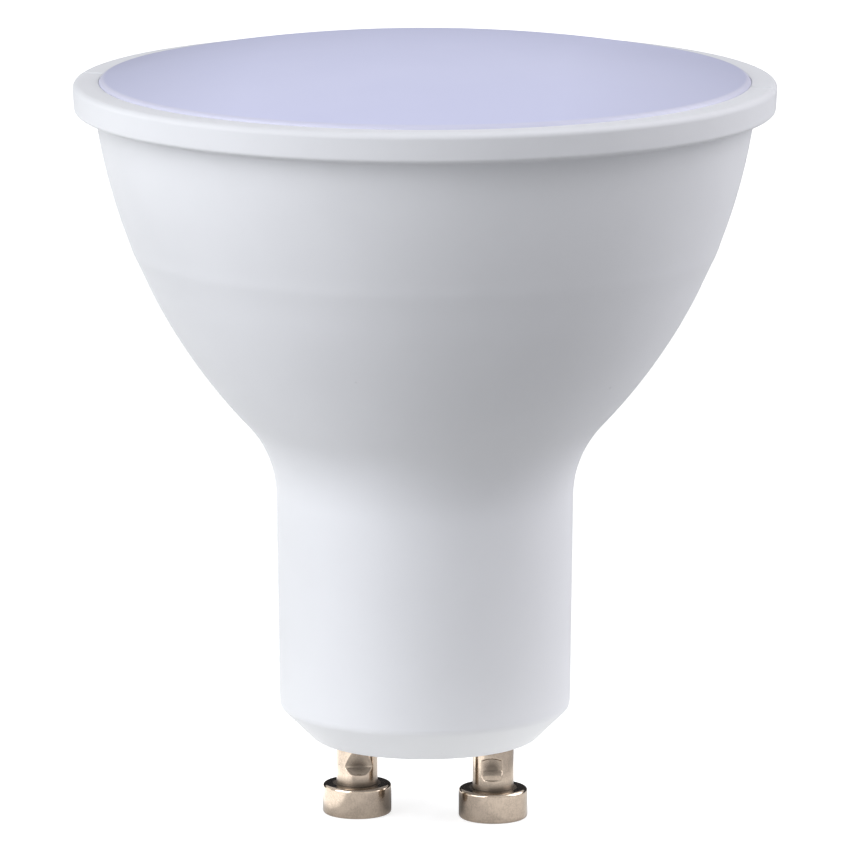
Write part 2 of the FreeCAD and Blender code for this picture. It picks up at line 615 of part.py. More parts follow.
def make_diffuser():
    """Domed milky cover with a skirt and snap lugs."""
    body = new_body("diffuser")
    centre_up = "(cover_top_height - dome_radius)"
    skirt = bell_radius_at("skirt_bottom_height", "housing_wall + skirt_gap")
    skirt_bore = f"({skirt} - skirt_wall)"
    inner_dome = "(dome_radius - cover_wall)"
    section = outline(body, "cover_section", "XZ_Plane", [
        ("0", "cover_top_height - cover_wall"),
        (skirt_bore, f"{centre_up} + sqrt({inner_dome} ^ 2 - {skirt_bore} ^ 2)",
         inner_dome, "right"),
        (skirt_bore, "skirt_bottom_height"),
        (skirt, "skirt_bottom_height"),
        (skirt, "cover_ledge_height"),
        ("cover_radius", "cover_ledge_height"),
        ("cover_radius", "cover_edge_height"),
        ("0", "cover_top_height", "dome_radius", "left"),
    ])
    cover = revolve(body, section, "cover")
    round_rings(body, cover, "cover_edge", [("cover_radius", "cover_edge_height")],
                "cover_edge_rounding")
    tip = f"({bell_radius_at('snap_height', 'housing_wall')} + snap_groove_depth - skirt_gap)"
    half = "(snap_groove_width / 2 - cover_gap)"
    lug = outline(body, "lug_section", "XZ_Plane", [
        (f"{skirt} - skirt_wall / 2", f"snap_height - 2 * {half}"),
        (tip, f"snap_height - {half} / 2"),
        (tip, f"snap_height + {half}"),
        (f"{skirt} - skirt_wall / 2", f"snap_height + {half}"),
    ])
    first_lug = revolve(body, lug, "snap_lug", angle="snap_lug_angle")
    repeat_round(body, first_lug, "snap_lugs", "snap_lug_count")
    return body


def crimp(body, side):
    """Press the tool mark into the front of a pin's stem, in two depths."""
    bottom = f"{side}_crimp_bottom"
    step = f"{side}_crimp_step"
    top = f"{side}_crimp_top"
    upper = outline(body, "crimp_outline", "XZ_Plane", [
        ("-crimp_width / 2", step),
        ("crimp_width / 2", step),
        ("crimp_width / 2", top),
        ("-crimp_width / 2", top, "crimp_arch_radius", "left"),
    ], lift="pin_stem_diameter / 2")
    pocket(body, upper, "crimp", "crimp_depth")
    lower = outline(body, "crimp_step_outline", "XZ_Plane", [
        ("-crimp_width / 2", bottom),
        ("crimp_width / 2", bottom),
        ("crimp_width / 2", step),
        ("-crimp_width / 2", step),
    ], lift="pin_stem_diameter / 2")
    pocket(body, lower, "crimp_step", "crimp_step_depth")


def make_pin(name, side, place):
    """Turned hollow pin: head, stem against the base, tenon and rolled-over end."""
    body = new_body(name)
    rivet_top = "pin_boss_top + pin_rivet_height"
    section = outline(body, "pin_section", "XZ_Plane", [
        ("0", "0"),
        ("pin_head_diameter / 2", "0"),
        ("pin_head_diameter / 2", "pin_head_height"),
        ("pin_stem_diameter / 2", "pin_head_height"),
        ("pin_stem_diameter / 2", "base_height"),
        ("pin_tenon_diameter / 2", "base_height"),
        ("pin_tenon_diameter / 2", "pin_boss_top"),
        ("pin_rivet_diameter / 2", "pin_boss_top"),
        ("pin_rivet_diameter / 2", rivet_top),
        ("pin_bore_diameter / 2", rivet_top),
        ("pin_bore_diameter / 2", "pin_bore_floor"),
        ("0", "pin_bore_floor"),
    ])
    turned = revolve(body, section, "turned_pin")
    round_rings(body, turned, "head_edges", [
        ("pin_head_diameter / 2", "0"),
        ("pin_head_diameter / 2", "pin_head_height"),
    ], "pin_head_rounding")
    crimp(body, side)
    body.setExpression("Placement.Base.x", bound(place))
    return body


def make_heat_spreader():
    """Drawn aluminium pan that lines the bell above its seat."""
    body = new_body("heat_spreader")
    outside = "housing_wall"
    inside = "housing_wall + spreader_wall"
    section = outline(body, "pan_section", "XZ_Plane", [
        ("0", "seat_height"),
        (bell_radius_at("seat_height", outside), "seat_height"),
        (bell_radius_at("spreader_rim_height", outside), "spreader_rim_height",
         f"bell_radius - ({outside})", "left"),
        (bell_radius_at("spreader_rim_height", inside), "spreader_rim_height"),
        (bell_radius_at("light_board_foot_height", inside), "light_board_foot_height",
         f"bell_radius - ({inside})", "right"),
        ("0", "light_board_foot_height"),
    ])
    pan = revolve(body, section, "pan")
    round_rings(body, pan, "drawn_corner",
                [(bell_radius_at("seat_height", outside), "seat_height")], "spreader_corner")
    holes = board_holes(body, "pan_holes_outline", "light_board_foot_height")
    pocket(body, holes, "pan_holes", "spreader_wall")
    return body


def board_holes(body, name, lift):
    """Draw the holes that the screws and the leads go through."""
    spots = [
        ("0", "screw_circle / 2"),
        ("0", "-screw_circle / 2"),
        ("light_lead_place", "light_lead_depth"),
        ("-light_lead_place", "light_lead_depth"),
    ]
    diameters = ["screw_diameter + screw_clearance"] * 2
    diameters += ["light_lead_diameter + hole_play"] * 2
    return circles(body, name, "XY_Plane", spots, diameters, lift)


def make_light_board():
    """Round aluminium-backed board on the heat spreader."""
    body = new_body("light_board")
    disc = circles(body, "board_outline", "XY_Plane", [("0", "0")],
                   ["light_board_diameter"], "light_board_foot_height")
    pad(body, disc, "board", "light_board_thickness")
    holes = board_holes(body, "holes_outline", "light_board_top_height")
    pocket(body, holes, "holes", "light_board_thickness")
    return body


def make_light_chip(index, count):
    """Light chip, turned to its place on the ring."""
    body = new_body(f"light_chip_{index + 1}")
    middle = "light_chip_circle / 2"
    package = outline(body, "package_outline", "XY_Plane", [
        (f"{middle} - light_chip_length / 2", "-light_chip_width / 2"),
        (f"{middle} + light_chip_length / 2", "-light_chip_width / 2"),
        (f"{middle} + light_chip_length / 2", "light_chip_width / 2"),
        (f"{middle} - light_chip_length / 2", "light_chip_width / 2"),
    ], lift="light_board_top_height")
    pad(body, package, "package", "light_chip_height")
    window = circles(body, "window_outline", "XY_Plane", [(middle, "0")],
                     ["light_chip_window"], "light_board_top_height + light_chip_height")
    pocket(body, window, "window", "light_chip_window_depth")
    turn = 360.0 * (index + 0.5) / count
    body.Placement = FreeCAD.Placement(
        FreeCAD.Vector(0, 0, 0), FreeCAD.Rotation(FreeCAD.Vector(0, 0, 1), turn))
    return body


def make_board_screws():
    """Two cross-head screws through the light board into the housing's bosses."""
    body = new_body("board_screws")
    body.AllowCompound = True
    spots = [("0", "screw_circle / 2"), ("0", "-screw_circle / 2")]
    shanks = circles(body, "shank_outline", "XY_Plane", spots, ["screw_diameter"] * 2,
                     "light_board_top_height - screw_length")
    pad(body, shanks, "shanks", "screw_length")
    heads = circles(body, "head_outline", "XY_Plane", spots, ["screw_head_diameter"] * 2,
                    "light_board_top_height")
    pad(body, heads, "heads", "screw_head_height")
    head_top = "light_board_top_height + screw_head_height"
    for axis_name, along, across in (("long", "screw_slot_length", "screw_slot_width"),
                                     ("cross", "screw_slot_width", "screw_slot_length")):
        for side, middle in (("back", "screw_circle / 2"), ("front", "-screw_circle / 2")):
            slot = outline(body, f"{axis_name}_{side}_outline", "XY_Plane", [
                (f"-{along} / 2", f"{middle} - {across} / 2"),
                (f"{along} / 2", f"{middle} - {across} / 2"),
                (f"{along} / 2", f"{middle} + {across} / 2"),
                (f"-{along} / 2", f"{middle} + {across} / 2"),
            ], lift=head_top)
            pocket(body, slot, f"{axis_name}_{side}_slot", "screw_slot_depth")
    return body


def leg_spots():
    """Give the places of the legs in the driver board with their diameters."""
    can_leg_up = "can_foot_height - can_leg_drop"
    spots = []
    for can in ("input", "output"):
        for side in ("-", "+"):
            spots.append((f"{can}_can_place {side} {can}_leg_pitch / 2", can_leg_up,
                          "leg_diameter"))
    for side in ("-", ""):
        spots.append((f"{side}fuse_leg_pitch / 2", "fuse_height", "leg_diameter"))
        spots.append((f"{side}winding_tail_place", "choke_height", "winding_tail_diameter"))
    return spots


def make_driver_board():
    """Upright board that stands on the base floor between its rails."""
    body = new_body("driver_board")
    foot = "board_foot_width / 2"
    head = "board_head_width / 2"
    shoulder_foot = "board_shoulder_height - board_shoulder_drop"
    shape = outline(body, "board_outline", "XZ_Plane", [
        (f"-{foot}", "floor_top_height"),
        (foot, "floor_top_height"),
        (foot, shoulder_foot),
        (head, "board_shoulder_height"),
        (head, "board_top_height"),
        (f"-{head}", "board_top_height"),
        (f"-{head}", "board_shoulder_height"),
        (f"-{foot}", shoulder_foot),
    ], lift="-board_back")
    pad(body, shape, "board", "board_thickness")
    spots = leg_spots()
    holes = circles(body, "leg_holes_outline", "XZ_Plane", [spot[:2] for spot in spots],
                    [f"{spot[2]} + hole_play" for spot in spots], "-board_face")
    pocket(body, holes, "leg_holes", "board_thickness")
    return body


def make_capacitor(kind):
    """Upright can against the board's front, its two legs bent into the board."""
    body = new_body(f"{kind}_capacitor")
    diameter = f"{kind}_can_diameter"
    place = f"{kind}_can_place"
    depth = f"(board_face - {diameter} / 2)"
    can = circles(body, "can_outline", "XY_Plane", [(place, depth)], [diameter],
                  "can_foot_height")
    pad(body, can, "can", f"{kind}_can_length")
    bead = circles(body, "bead_outline", "XY_Plane", [(place, depth)] * 2,
                   [diameter, f"{diameter} - 2 * can_bead_depth"],
                   "can_foot_height + can_bead_height")
    pocket(body, bead, "bead", "2 * can_bead_depth")
    for side_name, side in (("left", "-"), ("right", "+")):
        spot = f"{place} {side} {kind}_leg_pitch / 2"
        path = outline(body, f"{side_name}_leg_path", "YZ_Plane", [
            (depth, "can_foot_height"),
            (depth, "can_foot_height - can_leg_drop + leg_bend"),
            (f"{depth} + leg_bend", "can_foot_height - can_leg_drop", "leg_bend", "left"),
            ("board_back + leg_tail", "can_foot_height - can_leg_drop"),
        ], lift=spot, closed=False)
        wire = circles(body, f"{side_name}_leg_outline", "XY_Plane", [(spot, depth)],
                       ["leg_diameter"], "can_foot_height")
        document.recompute()
        pipe(body, f"{side_name}_leg", path, wire)
    return body


def choke_stage(body, name, diameters, start, length):
    """Add one turned stage of the choke, along its axis from the board outwards."""
    spots = [("0", "choke_height")] * len(diameters)
    ring = circles(body, f"{name}_outline", "XZ_Plane", spots, diameters,
                   f"-(board_face - ({start}))")
    return pad(body, ring, name, length)


def make_choke():
    """Drum core standing on the board's front, and the copper winding on its hub."""
    core = new_body("choke_core")
    choke_stage(core, "near_flange", ["choke_diameter"], "0", "choke_flange")
    choke_stage(core, "hub", ["choke_hub_diameter"], "choke_flange",
                "choke_length - 2 * choke_flange")
    choke_stage(core, "far_flange", ["choke_diameter"], "choke_length - choke_flange",
                "choke_flange")
    half = "choke_notch_width / 2"
    for name, side in (("left_notch", "-"), ("right_notch", "")):
        notch = outline(core, f"{name}_outline", "XZ_Plane", [
            (f"{side}(winding_tail_place - {half})", f"choke_height - {half}"),
            (f"{side}choke_diameter / 2", f"choke_height - {half}"),
            (f"{side}choke_diameter / 2", f"choke_height + {half}"),
            (f"{side}(winding_tail_place - {half})", f"choke_height + {half}"),
        ], lift="-(board_face - choke_flange)")
        pocket(core, notch, name, "choke_flange")
    winding = new_body("choke_winding")
    choke_stage(winding, "coil", ["winding_diameter", "choke_hub_diameter"], "choke_flange",
                "choke_length - 2 * choke_flange")
    tails = circles(winding, "tails_outline", "XZ_Plane", [
        ("winding_tail_place", "choke_height"),
        ("-winding_tail_place", "choke_height"),
    ], ["winding_tail_diameter"] * 2, "-(board_back + leg_tail)")
    pad(winding, tails, "tails", "board_thickness + leg_tail + choke_flange")
    return [core, winding]


def make_fuse_resistor():
    """Small axial part low on the board, between the two mains leads."""
    body = new_body("fuse_resistor")
    depth = "(board_face - fuse_diameter / 2)"
    barrel = circles(body, "barrel_outline", "YZ_Plane", [(depth, "fuse_height")],
                     ["fuse_diameter"], "-fuse_length / 2")
    barrel_pad = pad(body, barrel, "barrel", "fuse_length")
    ends = [f"Edge{index}" for index, edge in enumerate(barrel_pad.Shape.Edges, start=1)
            if isinstance(edge.Curve, Part.Circle)]
    rounded = body.newObject("PartDesign::Fillet", "barrel_ends")
    rounded.Base = (barrel_pad, ends)
    rounded.setExpression("Radius", bound("fuse_rounding"))
    document.recompute()
    tail = "board_back + leg_tail"
    path = outline(body, "leg_path", "XY_Plane", [
        ("-fuse_leg_pitch / 2", tail),
        ("-fuse_leg_pitch / 2", f"{depth} + leg_bend"),
        ("-fuse_leg_pitch / 2 + leg_bend", depth, "leg_bend", "left"),
        ("fuse_leg_pitch / 2 - leg_bend", depth),
        ("fuse_leg_pitch / 2", f"{depth} + leg_bend", "leg_bend", "left"),
        ("fuse_leg_pitch / 2", tail),
    ], lift="fuse_height", closed=False)
    wire = circles(body, "leg_outline", "XZ_Plane", [("-fuse_leg_pitch / 2", "fuse_height")],
                   ["leg_diameter"], f"-({tail})")
    document.recompute()
    pipe(body, "legs", path, wire)
    return body


def make_chip(name, kind, legs_a_side):
    """Surface-mounted part on the board's back, with bent legs left and right."""
    body = new_body(name)
    half_width = f"{kind}_width / 2"
    middle = f"{kind}_height"
    case = outline(body, "case_outline", "XZ_Plane", [
        (f"-{half_width}", f"{middle} - {kind}_length / 2"),
        (half_width, f"{middle} - {kind}_length / 2"),
        (half_width, f"{middle} + {kind}_length / 2"),
        (f"-{half_width}", f"{middle} + {kind}_length / 2"),
    ], lift=f"-(board_back + {kind}_thickness)")
    pad(body, case, "case", f"{kind}_thickness")
    leave = f"(board_back + {kind}_thickness / 2)"
    foot_end = f"{half_width} + chip_leg_reach"
    knee = f"{half_width} + chip_leg_reach / 2"
    bottom = f"{middle} - {kind}_leg_pitch * {(legs_a_side - 1) / 2} - chip_leg_width / 2"
    leg = outline(body, "leg_outline", "XY_Plane", [
        (f"{half_width} - chip_leg_sheet", f"{leave} - chip_leg_sheet"),
        (f"{knee} - chip_leg_sheet", f"{leave} - chip_leg_sheet"),
        (f"{knee} - chip_leg_sheet", "board_back"),
        (foot_end, "board_back"),
        (foot_end, "board_back + chip_leg_sheet"),
        (knee, "board_back + chip_leg_sheet"),
        (knee, leave),
        (f"{half_width} - chip_leg_sheet", leave),
    ], lift=bottom)
    first_leg = pad(body, leg, "leg", "chip_leg_width")
    leg_rows(body, first_leg, f"{kind}_leg_pitch", legs_a_side)
    return body


def leg_rows(body, leg, pitch, count):
    """Mirror a leg to the part's other side and repeat both upwards."""
    rows = body.newObject("PartDesign::MultiTransform", "leg_rows")
    rows.Originals = [leg]
    mirrored = body.newObject("PartDesign::Mirrored", "opposite_side")
    mirrored.MirrorPlane = (origin_feature(body, "YZ_Plane"), [""])
    steps = [mirrored]
    if count > 1:
        repeated = body.newObject("PartDesign::LinearPattern", "row")
        repeated.Direction = (origin_feature(body, "Z_Axis"), [""])
        repeated.setExpression("Length", bound(f"{pitch} * {count - 1}"))
        repeated.Occurrences = count
        steps.append(repeated)
    rows.Transformations = steps
    body.Tip = rows
    document.recompute()


def make_mains_lead(name, place):
    """Lead from a pin's bore up to the driver board's front, whole."""
    body = new_body(name)
    shift = "mains_lead_shift"
    rise = f"sqrt(4 * mains_lead_bend * {shift} - {shift} ^ 2)"
    path = outline(body, "lead_path", "YZ_Plane", [
        ("0", "pin_bore_floor"),
        ("0", "mains_lead_rise"),
        (f"{shift} / 2", f"mains_lead_rise + {rise} / 2", "mains_lead_bend", "right"),
        (shift, f"mains_lead_rise + {rise}", "mains_lead_bend", "left"),
        (shift, "mains_lead_top"),
    ], closed=False)
    wire = circles(body, "lead_outline", "XY_Plane", [("0", "0")], ["mains_lead_diameter"],
                   "pin_bore_floor")
    document.recompute()
    pipe(body, "lead", path, wire)
    body.setExpression("Placement.Base.x", bound(place))
    return body


def make_light_lead(name, side, turn):
    """Lead from the driver board's back over to the light board's face."""
    body = new_body(name)
    start = f"{side}light_lead_place"
    middle = f"{side}(light_lead_place + light_lead_bend)"
    end = f"{side}(light_lead_place + 2 * light_lead_bend)"
    path = outline(body, "lead_path", "XZ_Plane", [
        (start, "light_lead_foot"),
        (start, "light_lead_crest"),
        (middle, "light_lead_crest + light_lead_bend", "light_lead_bend", turn),
        (end, "light_lead_crest", "light_lead_bend", turn),
        (end, "light_board_top_height"),
    ], lift="-light_lead_depth", closed=False)
    wire = circles(body, "lead_outline", "XY_Plane", [(start, "light_lead_depth")],
                   ["light_lead_diameter"], "light_lead_foot")
    document.recompute()
    pipe(body, "lead", path, wire)
    return body


def make_parts():
    """Make every sub-part of the lamp."""
    chip_count = round(number("light_chip_count"))
    parts = [
        make_housing(),
        make_diffuser(),
        make_pin("contact_pin_right", "right", "pin_spacing / 2"),
        make_pin("contact_pin_left", "left", "-pin_spacing / 2"),
        make_heat_spreader(),
        make_light_board(),
        make_board_screws(),
        make_driver_board(),
        make_capacitor("input"),
        make_capacitor("output"),
        make_fuse_resistor(),
        make_chip("bridge_rectifier", "bridge", 2),
        make_chip("driver_chip", "driver", 4),
        make_chip("freewheel_diode", "diode", 1),
        make_mains_lead("live_lead", "pin_spacing / 2"),
        make_mains_lead("neutral_lead", "-pin_spacing / 2"),
        make_light_lead("light_lead_plus", "", "right"),
        make_light_lead("light_lead_minus", "-", "left"),
    ]
    parts += make_choke()
    parts += [make_light_chip(index, chip_count) for index in range(chip_count)]
    return parts


def check_parts(parts):
    """Stop if a feature failed, a cut removed nothing or a shape is not sound."""
    document.recompute()
    for item in document.Objects:
        if "Invalid" in item.State or "Error" in item.State:
            raise RuntimeError(f"{item.Name} of {item.TypeId} failed")
        if item.TypeId in ("PartDesign::Pocket", "PartDesign::Groove"):
            if item.Shape.Volume >= item.BaseFeature.Shape.Volume:
                raise RuntimeError(f"{item.Name} cuts nothing")
    for part in parts:
        if part.Shape.isNull() or not part.Shape.isValid() or not part.Shape.Solids:
            raise RuntimeError(f"{part.Label} has no sound shape")


lamp_parts = make_parts()
check_parts(lamp_parts)
os.makedirs("parts", exist_ok=True)
for lamp_part in lamp_parts:
    lamp_part.Shape.exportStep(f"parts/{lamp_part.Label}.step")
    print(lamp_part.Label, len(lamp_part.Shape.Solids), round(lamp_part.Shape.Volume, 2))
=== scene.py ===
"""Plug-in spotlight bulb: white moulded bell, domed cover and two twist-lock pins."""

import json
import math

import bmesh
import bpy
from bpy.props import FloatProperty, FloatVectorProperty, IntProperty, PointerProperty
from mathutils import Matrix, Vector


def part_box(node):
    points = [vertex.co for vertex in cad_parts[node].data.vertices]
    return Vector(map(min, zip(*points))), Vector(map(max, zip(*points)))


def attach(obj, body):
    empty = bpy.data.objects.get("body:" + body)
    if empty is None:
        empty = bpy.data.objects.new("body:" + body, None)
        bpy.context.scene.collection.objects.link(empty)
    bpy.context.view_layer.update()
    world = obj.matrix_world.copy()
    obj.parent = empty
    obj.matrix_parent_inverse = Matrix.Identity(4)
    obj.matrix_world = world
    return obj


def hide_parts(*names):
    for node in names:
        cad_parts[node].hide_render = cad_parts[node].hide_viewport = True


bl_info = {
    "name": "Spotlight bulb",
    "version": (1, 0, 0),
    "blender": (4, 5, 0),
    "location": "3D View > Sidebar > Spotlight bulb",
    "description": "Makes the pieces, finishes, stage and camera of a plug-in spotlight bulb",
    "category": "Object",
}

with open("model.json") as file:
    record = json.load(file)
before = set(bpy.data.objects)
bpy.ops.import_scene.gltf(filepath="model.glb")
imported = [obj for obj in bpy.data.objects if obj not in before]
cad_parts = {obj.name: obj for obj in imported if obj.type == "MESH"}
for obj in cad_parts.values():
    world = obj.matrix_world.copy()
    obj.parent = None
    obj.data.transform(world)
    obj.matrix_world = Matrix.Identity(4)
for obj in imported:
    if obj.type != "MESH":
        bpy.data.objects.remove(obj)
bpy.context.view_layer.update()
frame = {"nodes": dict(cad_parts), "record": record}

BODY = "root"
MM = 0.001

# Meshes: what welds to one point, how close to the stem counts as on it, which corners
# stay hard, and the radius of the rail that a section is swept along.
WELD = 0.002 * MM
STEM_SKIN = 0.01 * MM
HARD_CORNER = math.radians(40)
RAIL = 1.0 * MM

# Stage: how far the lamps stand off and the height they aim at, then the floor's white near the
# bulb and as the pins mirror it, with the painted light to the floor's left that the pins
# mirror.
LAMP_REACH = 0.7
LAMP_AIM = 0.03
NEAR_LIFT = 0.75
MIRROR_LIFT = 0.32
PAINTED_LEFT_LIGHT = 4.6
FLOOR_RADIUS = 3.0
GLOW_INNER = 8 * MM
GLOW_OUTER = 20 * MM
GLOW_HEIGHT = 0.03 * MM
CARD_BACK = 0.22
CARD_HALF = 0.4
CARD_LOW = 0.001
CARD_HIGH = 0.11

# Lamps: name, azimuth and elevation in degrees, width in metres, watts and colour.
LAMPS = (
    ("left_window", -45, 30, 0.7, 6.0, (0.95, 0.96, 1.0)),
    ("right_fill", 105, 30, 0.7, 5.3, (0.96, 0.955, 1.0)),
    ("left_low", 255, 6, 0.35, 0.45, (0.95, 1.0, 0.85)),
)

CAMERA_PLACE = (80.74 * MM, -554.4 * MM, 136.66 * MM)
CAMERA_TILT = 79.109
CAMERA_TURN = 8.286
CAMERA_SENSOR = 36.0
CAMERA_LENS = 334.8

HOUSING_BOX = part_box("housing")
COVER_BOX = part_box("diffuser")
PIN_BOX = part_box("contact_pin_right")
PIN_WIDTH = PIN_BOX[1].x - PIN_BOX[0].x


def length(label, text, default):
    """Make a size of the sidebar, in metres."""
    return FloatProperty(name=label, description=text, default=default, min=0.0,
                         unit="LENGTH", precision=6)


class BulbSizes(bpy.types.PropertyGroup):
    """Sizes of the bulb's outside, some of them read from the frame."""

    rim_radius: length("Rim radius", "Outside of the rim", HOUSING_BOX[1].x)
    rim_top: length("Rim top", "Height of the rim's flat face", HOUSING_BOX[1].z)
    rim_height: length("Rim height", "Thickness of the rim", 2.1 * MM)
    rim_flange: length("Rim flange", "How far the rim stands out from the bell", 1.6 * MM)
    rim_draft: length("Rim draft", "How far the rim draws in below", 0.12 * MM)
    rim_top_rounding: length("Rim top rounding", "Rounding above", 0.42 * MM)
    rim_rounding: length("Rim rounding", "Rounding of the rim below", 0.3 * MM)
    recess_edge: length("Recess edge", "Rounding at the edge of the recess", 0.06 * MM)
    rim_root: length("Rim root", "Rounding between bell and rim", 0.5 * MM)
    rim_land: length("Rim land", "Flat face of the rim round the cover", 1.89 * MM)
    recess_depth: length("Recess depth", "Recess in the rim for the cover", 1.8 * MM)
    wall: length("Wall", "Wall of the moulded housing", 1.6 * MM)
    floor: length("Base floor", "Thickness of the base", 2.6 * MM)
    bell_arc: length("Bell arc", "Radius of the bell's round section", 40.8 * MM)
    bell_height: length("Bell height", "From the neck's line to the rim", 24.8 * MM)
    neck_blend: length("Neck blend", "Hollow between neck and bell", 8.1 * MM)
    neck_top: length("Neck top radius", "Neck where its line meets the bell", 10.76 * MM)
    neck_foot: length("Neck foot radius", "Neck above the base's bevel", 10.525 * MM)
    neck_rounding: length("Neck rounding", "Rounding above the bevel", 0.8 * MM)
    base_under: length("Base underside", "Height of the flat base", HOUSING_BOX[0].z)
    bevel_width: length("Bevel width", "Width of the base's bevel", 2.425 * MM)
    bevel_height: length("Bevel height", "Height of the base's bevel", 2.4 * MM)
    base_rounding: length("Base rounding", "Rounding below the bevel", 0.6 * MM)
    ring_mark: length("Ring mark", "Faint ring of the wall outside the seat ring", 0.036 * MM)
    ring_drop: length("Ring drop", "From the rim down to that ring", 10.0 * MM)
    ring_spread: length("Ring spread", "Half width of that ring", 0.52 * MM)
    sink_drop: length("Sink drop", "From that ring down to the sink below it", 1.85 * MM)
    sink_spread: length("Sink spread", "Half width of that sink", 1.0 * MM)
    sink_share: FloatProperty(name="Sink share", description="Sink as a share of the ring",
                              default=0.8, min=0.0)
    cover_radius: length("Cover radius", "Edge of the domed cover", COVER_BOX[1].x)
    cover_crown: length("Cover crown", "Highest point of the cover", COVER_BOX[1].z)
    cover_rise: length("Cover rise", "Crown above the cover's edge", 2.5 * MM)
    cover_wall: length("Cover wall", "Wall of the cover", 1.4 * MM)
    cover_rounding: length("Cover rounding", "Rounding of the cover's edge", 0.45 * MM)
    skirt_foot: length("Skirt foot", "Lower end of the cover's skirt", COVER_BOX[0].z)
    skirt_gap: length("Skirt gap", "Play between skirt and bell", 0.2 * MM)
    skirt_wall: length("Skirt wall", "Wall of the skirt", 1.1 * MM)
    pin_place: length("Pin place", "Pin's axis from the middle",
                      (PIN_BOX[0].x + PIN_BOX[1].x) / 2)
    pin_top: length("Pin top", "Rolled end inside the base", PIN_BOX[1].z)
    head_radius: length("Head radius", "Head of a pin", PIN_WIDTH / 2)
    head_height: length("Head height", "Height of a pin's head", 2.2 * MM)
    head_rounding: length("Head rounding", "Rounding of the head's edges", 0.22 * MM)
    stem_radius: length("Stem radius", "Stem of a pin", 1.5 * MM)
    tenon_radius: length("Tenon radius", "Pin inside the base floor", 1.2 * MM)
    rivet_radius: length("Rivet radius", "Rolled end of the pin", 1.9 * MM)
    rivet_height: length("Rivet height", "Thickness of the rolled end", 0.5 * MM)
    bore_radius: length("Bore radius", "Bore of the pin", 0.65 * MM)
    bore_floor: length("Bore floor", "Blind end of the bore", 2.3 * MM)
    crimp_edge: length("Crimp edge", "Softness of the mark's edges", 0.07 * MM)
    bead_radius: length("Parting bead", "Moulding line of the housing", 0.03 * MM)
    steps_round: IntProperty(name="Steps round", description="Facets of a turned piece",
                             default=288, min=24)


class BulbColours(bpy.types.PropertyGroup):
    """Colours of the bulb's outside, as linear values."""

    plastic: FloatVectorProperty(name="Housing", description="White moulded plastic",
                                 subtype="COLOR", default=(0.80, 0.81, 0.83))
    cover: FloatVectorProperty(name="Cover", description="Milky cover",
                               subtype="COLOR", default=(0.614, 0.634, 0.842))
    nickel: FloatVectorProperty(name="Pins", description="Nickel plating",
                                subtype="COLOR", default=(0.56, 0.465, 0.375))
    floor: FloatVectorProperty(name="Floor", description="Studio floor",
                               subtype="COLOR", default=(0.40, 0.40, 0.40))


def line_and_arc_blend(foot, top, centre, radius, blend):
    """Find where a hollow rounding leaves the line foot-top and meets the arc."""
    along = (top - foot).normalized()
    outwards = Vector((along.y, -along.x))
    start = foot + outwards * blend - centre
    half = start.dot(along)
    reach = math.sqrt(half ** 2 - start.length_squared + (radius + blend) ** 2)
    middle = centre + start + along * (-half - reach)
    if middle.y < foot.y:
        middle = centre + start + along * (-half + reach)
    leave = middle - outwards * blend
    meet = centre + (middle - centre) * (radius / (radius + blend))
    return middle, leave, meet


def arc_points(centre, start, end, step):
    """Points of the short arc from start to end, both included."""
    first = math.atan2(start.y - centre.y, start.x - centre.x)
    last = math.atan2(end.y - centre.y, end.x - centre.x)
    sweep = (last - first + math.pi) % (2 * math.pi) - math.pi
    radius = (start - centre).length
    count = max(3, math.ceil(abs(sweep) * radius / step))
    return [centre + Vector((math.cos(first + sweep * index / count),
                             math.sin(first + sweep * index / count))) * radius
            for index in range(count + 1)]


def rounded(line, facets=7, support=0.04 * MM):
    """Round the corners of a section line, given as (point, rounding) pairs."""
    points = []
    for index, (corner, rounding) in enumerate(line):
        if rounding == 0.0:
            points.append(corner)
            continue
        before = (line[index - 1][0] - corner).normalized()
        after = (line[index + 1][0] - corner).normalized()
        half_angle = math.acos(max(-1.0, min(1.0, before.dot(after)))) / 2
        trim = rounding / math.tan(half_angle)
        middle = corner + (before + after).normalized() * (rounding / math.sin(half_angle))
        start = corner + before * trim
        end = corner + after * trim
        points.append(start + before * support)
        first = start - middle
        turn = first.angle_signed(end - middle)
        for facet in range(facets + 1):
            angle = turn * facet / facets
            cosine, sine = math.cos(angle), math.sin(angle)
            points.append(middle + Vector((first.x * cosine + first.y * sine,
                                           first.y * cosine - first.x * sine)))
        points.append(end + after * support)
    return points


def plain(points):
    """Give points no rounding."""
    return [(point, 0.0) for point in points]


def split_line(start, end, step):
    """Points of a straight run, both ends left out."""
    count = max(1, round((end - start).length / step))
    return [start.lerp(end, index / count) for index in range(1, count)]


def bell_centre(sizes):
    """Centre of the bell's arc, through the neck's top and the bell's mouth."""
    under = sizes.rim_top - sizes.rim_height
    mouth = Vector((sizes.rim_radius - sizes.rim_flange, under))
    throat = Vector((sizes.neck_top, under - sizes.bell_height))
    chord = mouth - throat
    reach = math.sqrt(sizes.bell_arc ** 2 - chord.length_squared / 4)
    return (mouth + throat) / 2 + Vector((-chord.y, chord.x)).normalized() * reach


def bell_radius_at(sizes, height, inset):
    """Radius, at a height, of the surface that lies inset inside the bell."""
    centre = bell_centre(sizes)
    return centre.x + math.sqrt((sizes.bell_arc - inset) ** 2 - (centre.y - height) ** 2)


def wall_line(sizes, inset, low, high, step):
    """Neck and bell from a low corner to a high one, inset from the outside."""
    centre = bell_centre(sizes)
    top_height = sizes.rim_top - sizes.rim_height - sizes.bell_height
    foot = Vector((sizes.neck_foot - inset, sizes.base_under + sizes.bevel_height))
    top = Vector((sizes.neck_top - inset, top_height))
    middle, leave, meet = line_and_arc_blend(foot, top, centre, sizes.bell_arc - inset,
                                             sizes.neck_blend + inset)
    points = split_line(low, leave, 2 * MM) + arc_points(middle, leave, meet, step)
    return points + arc_points(centre, meet, high, step)[1:-1]


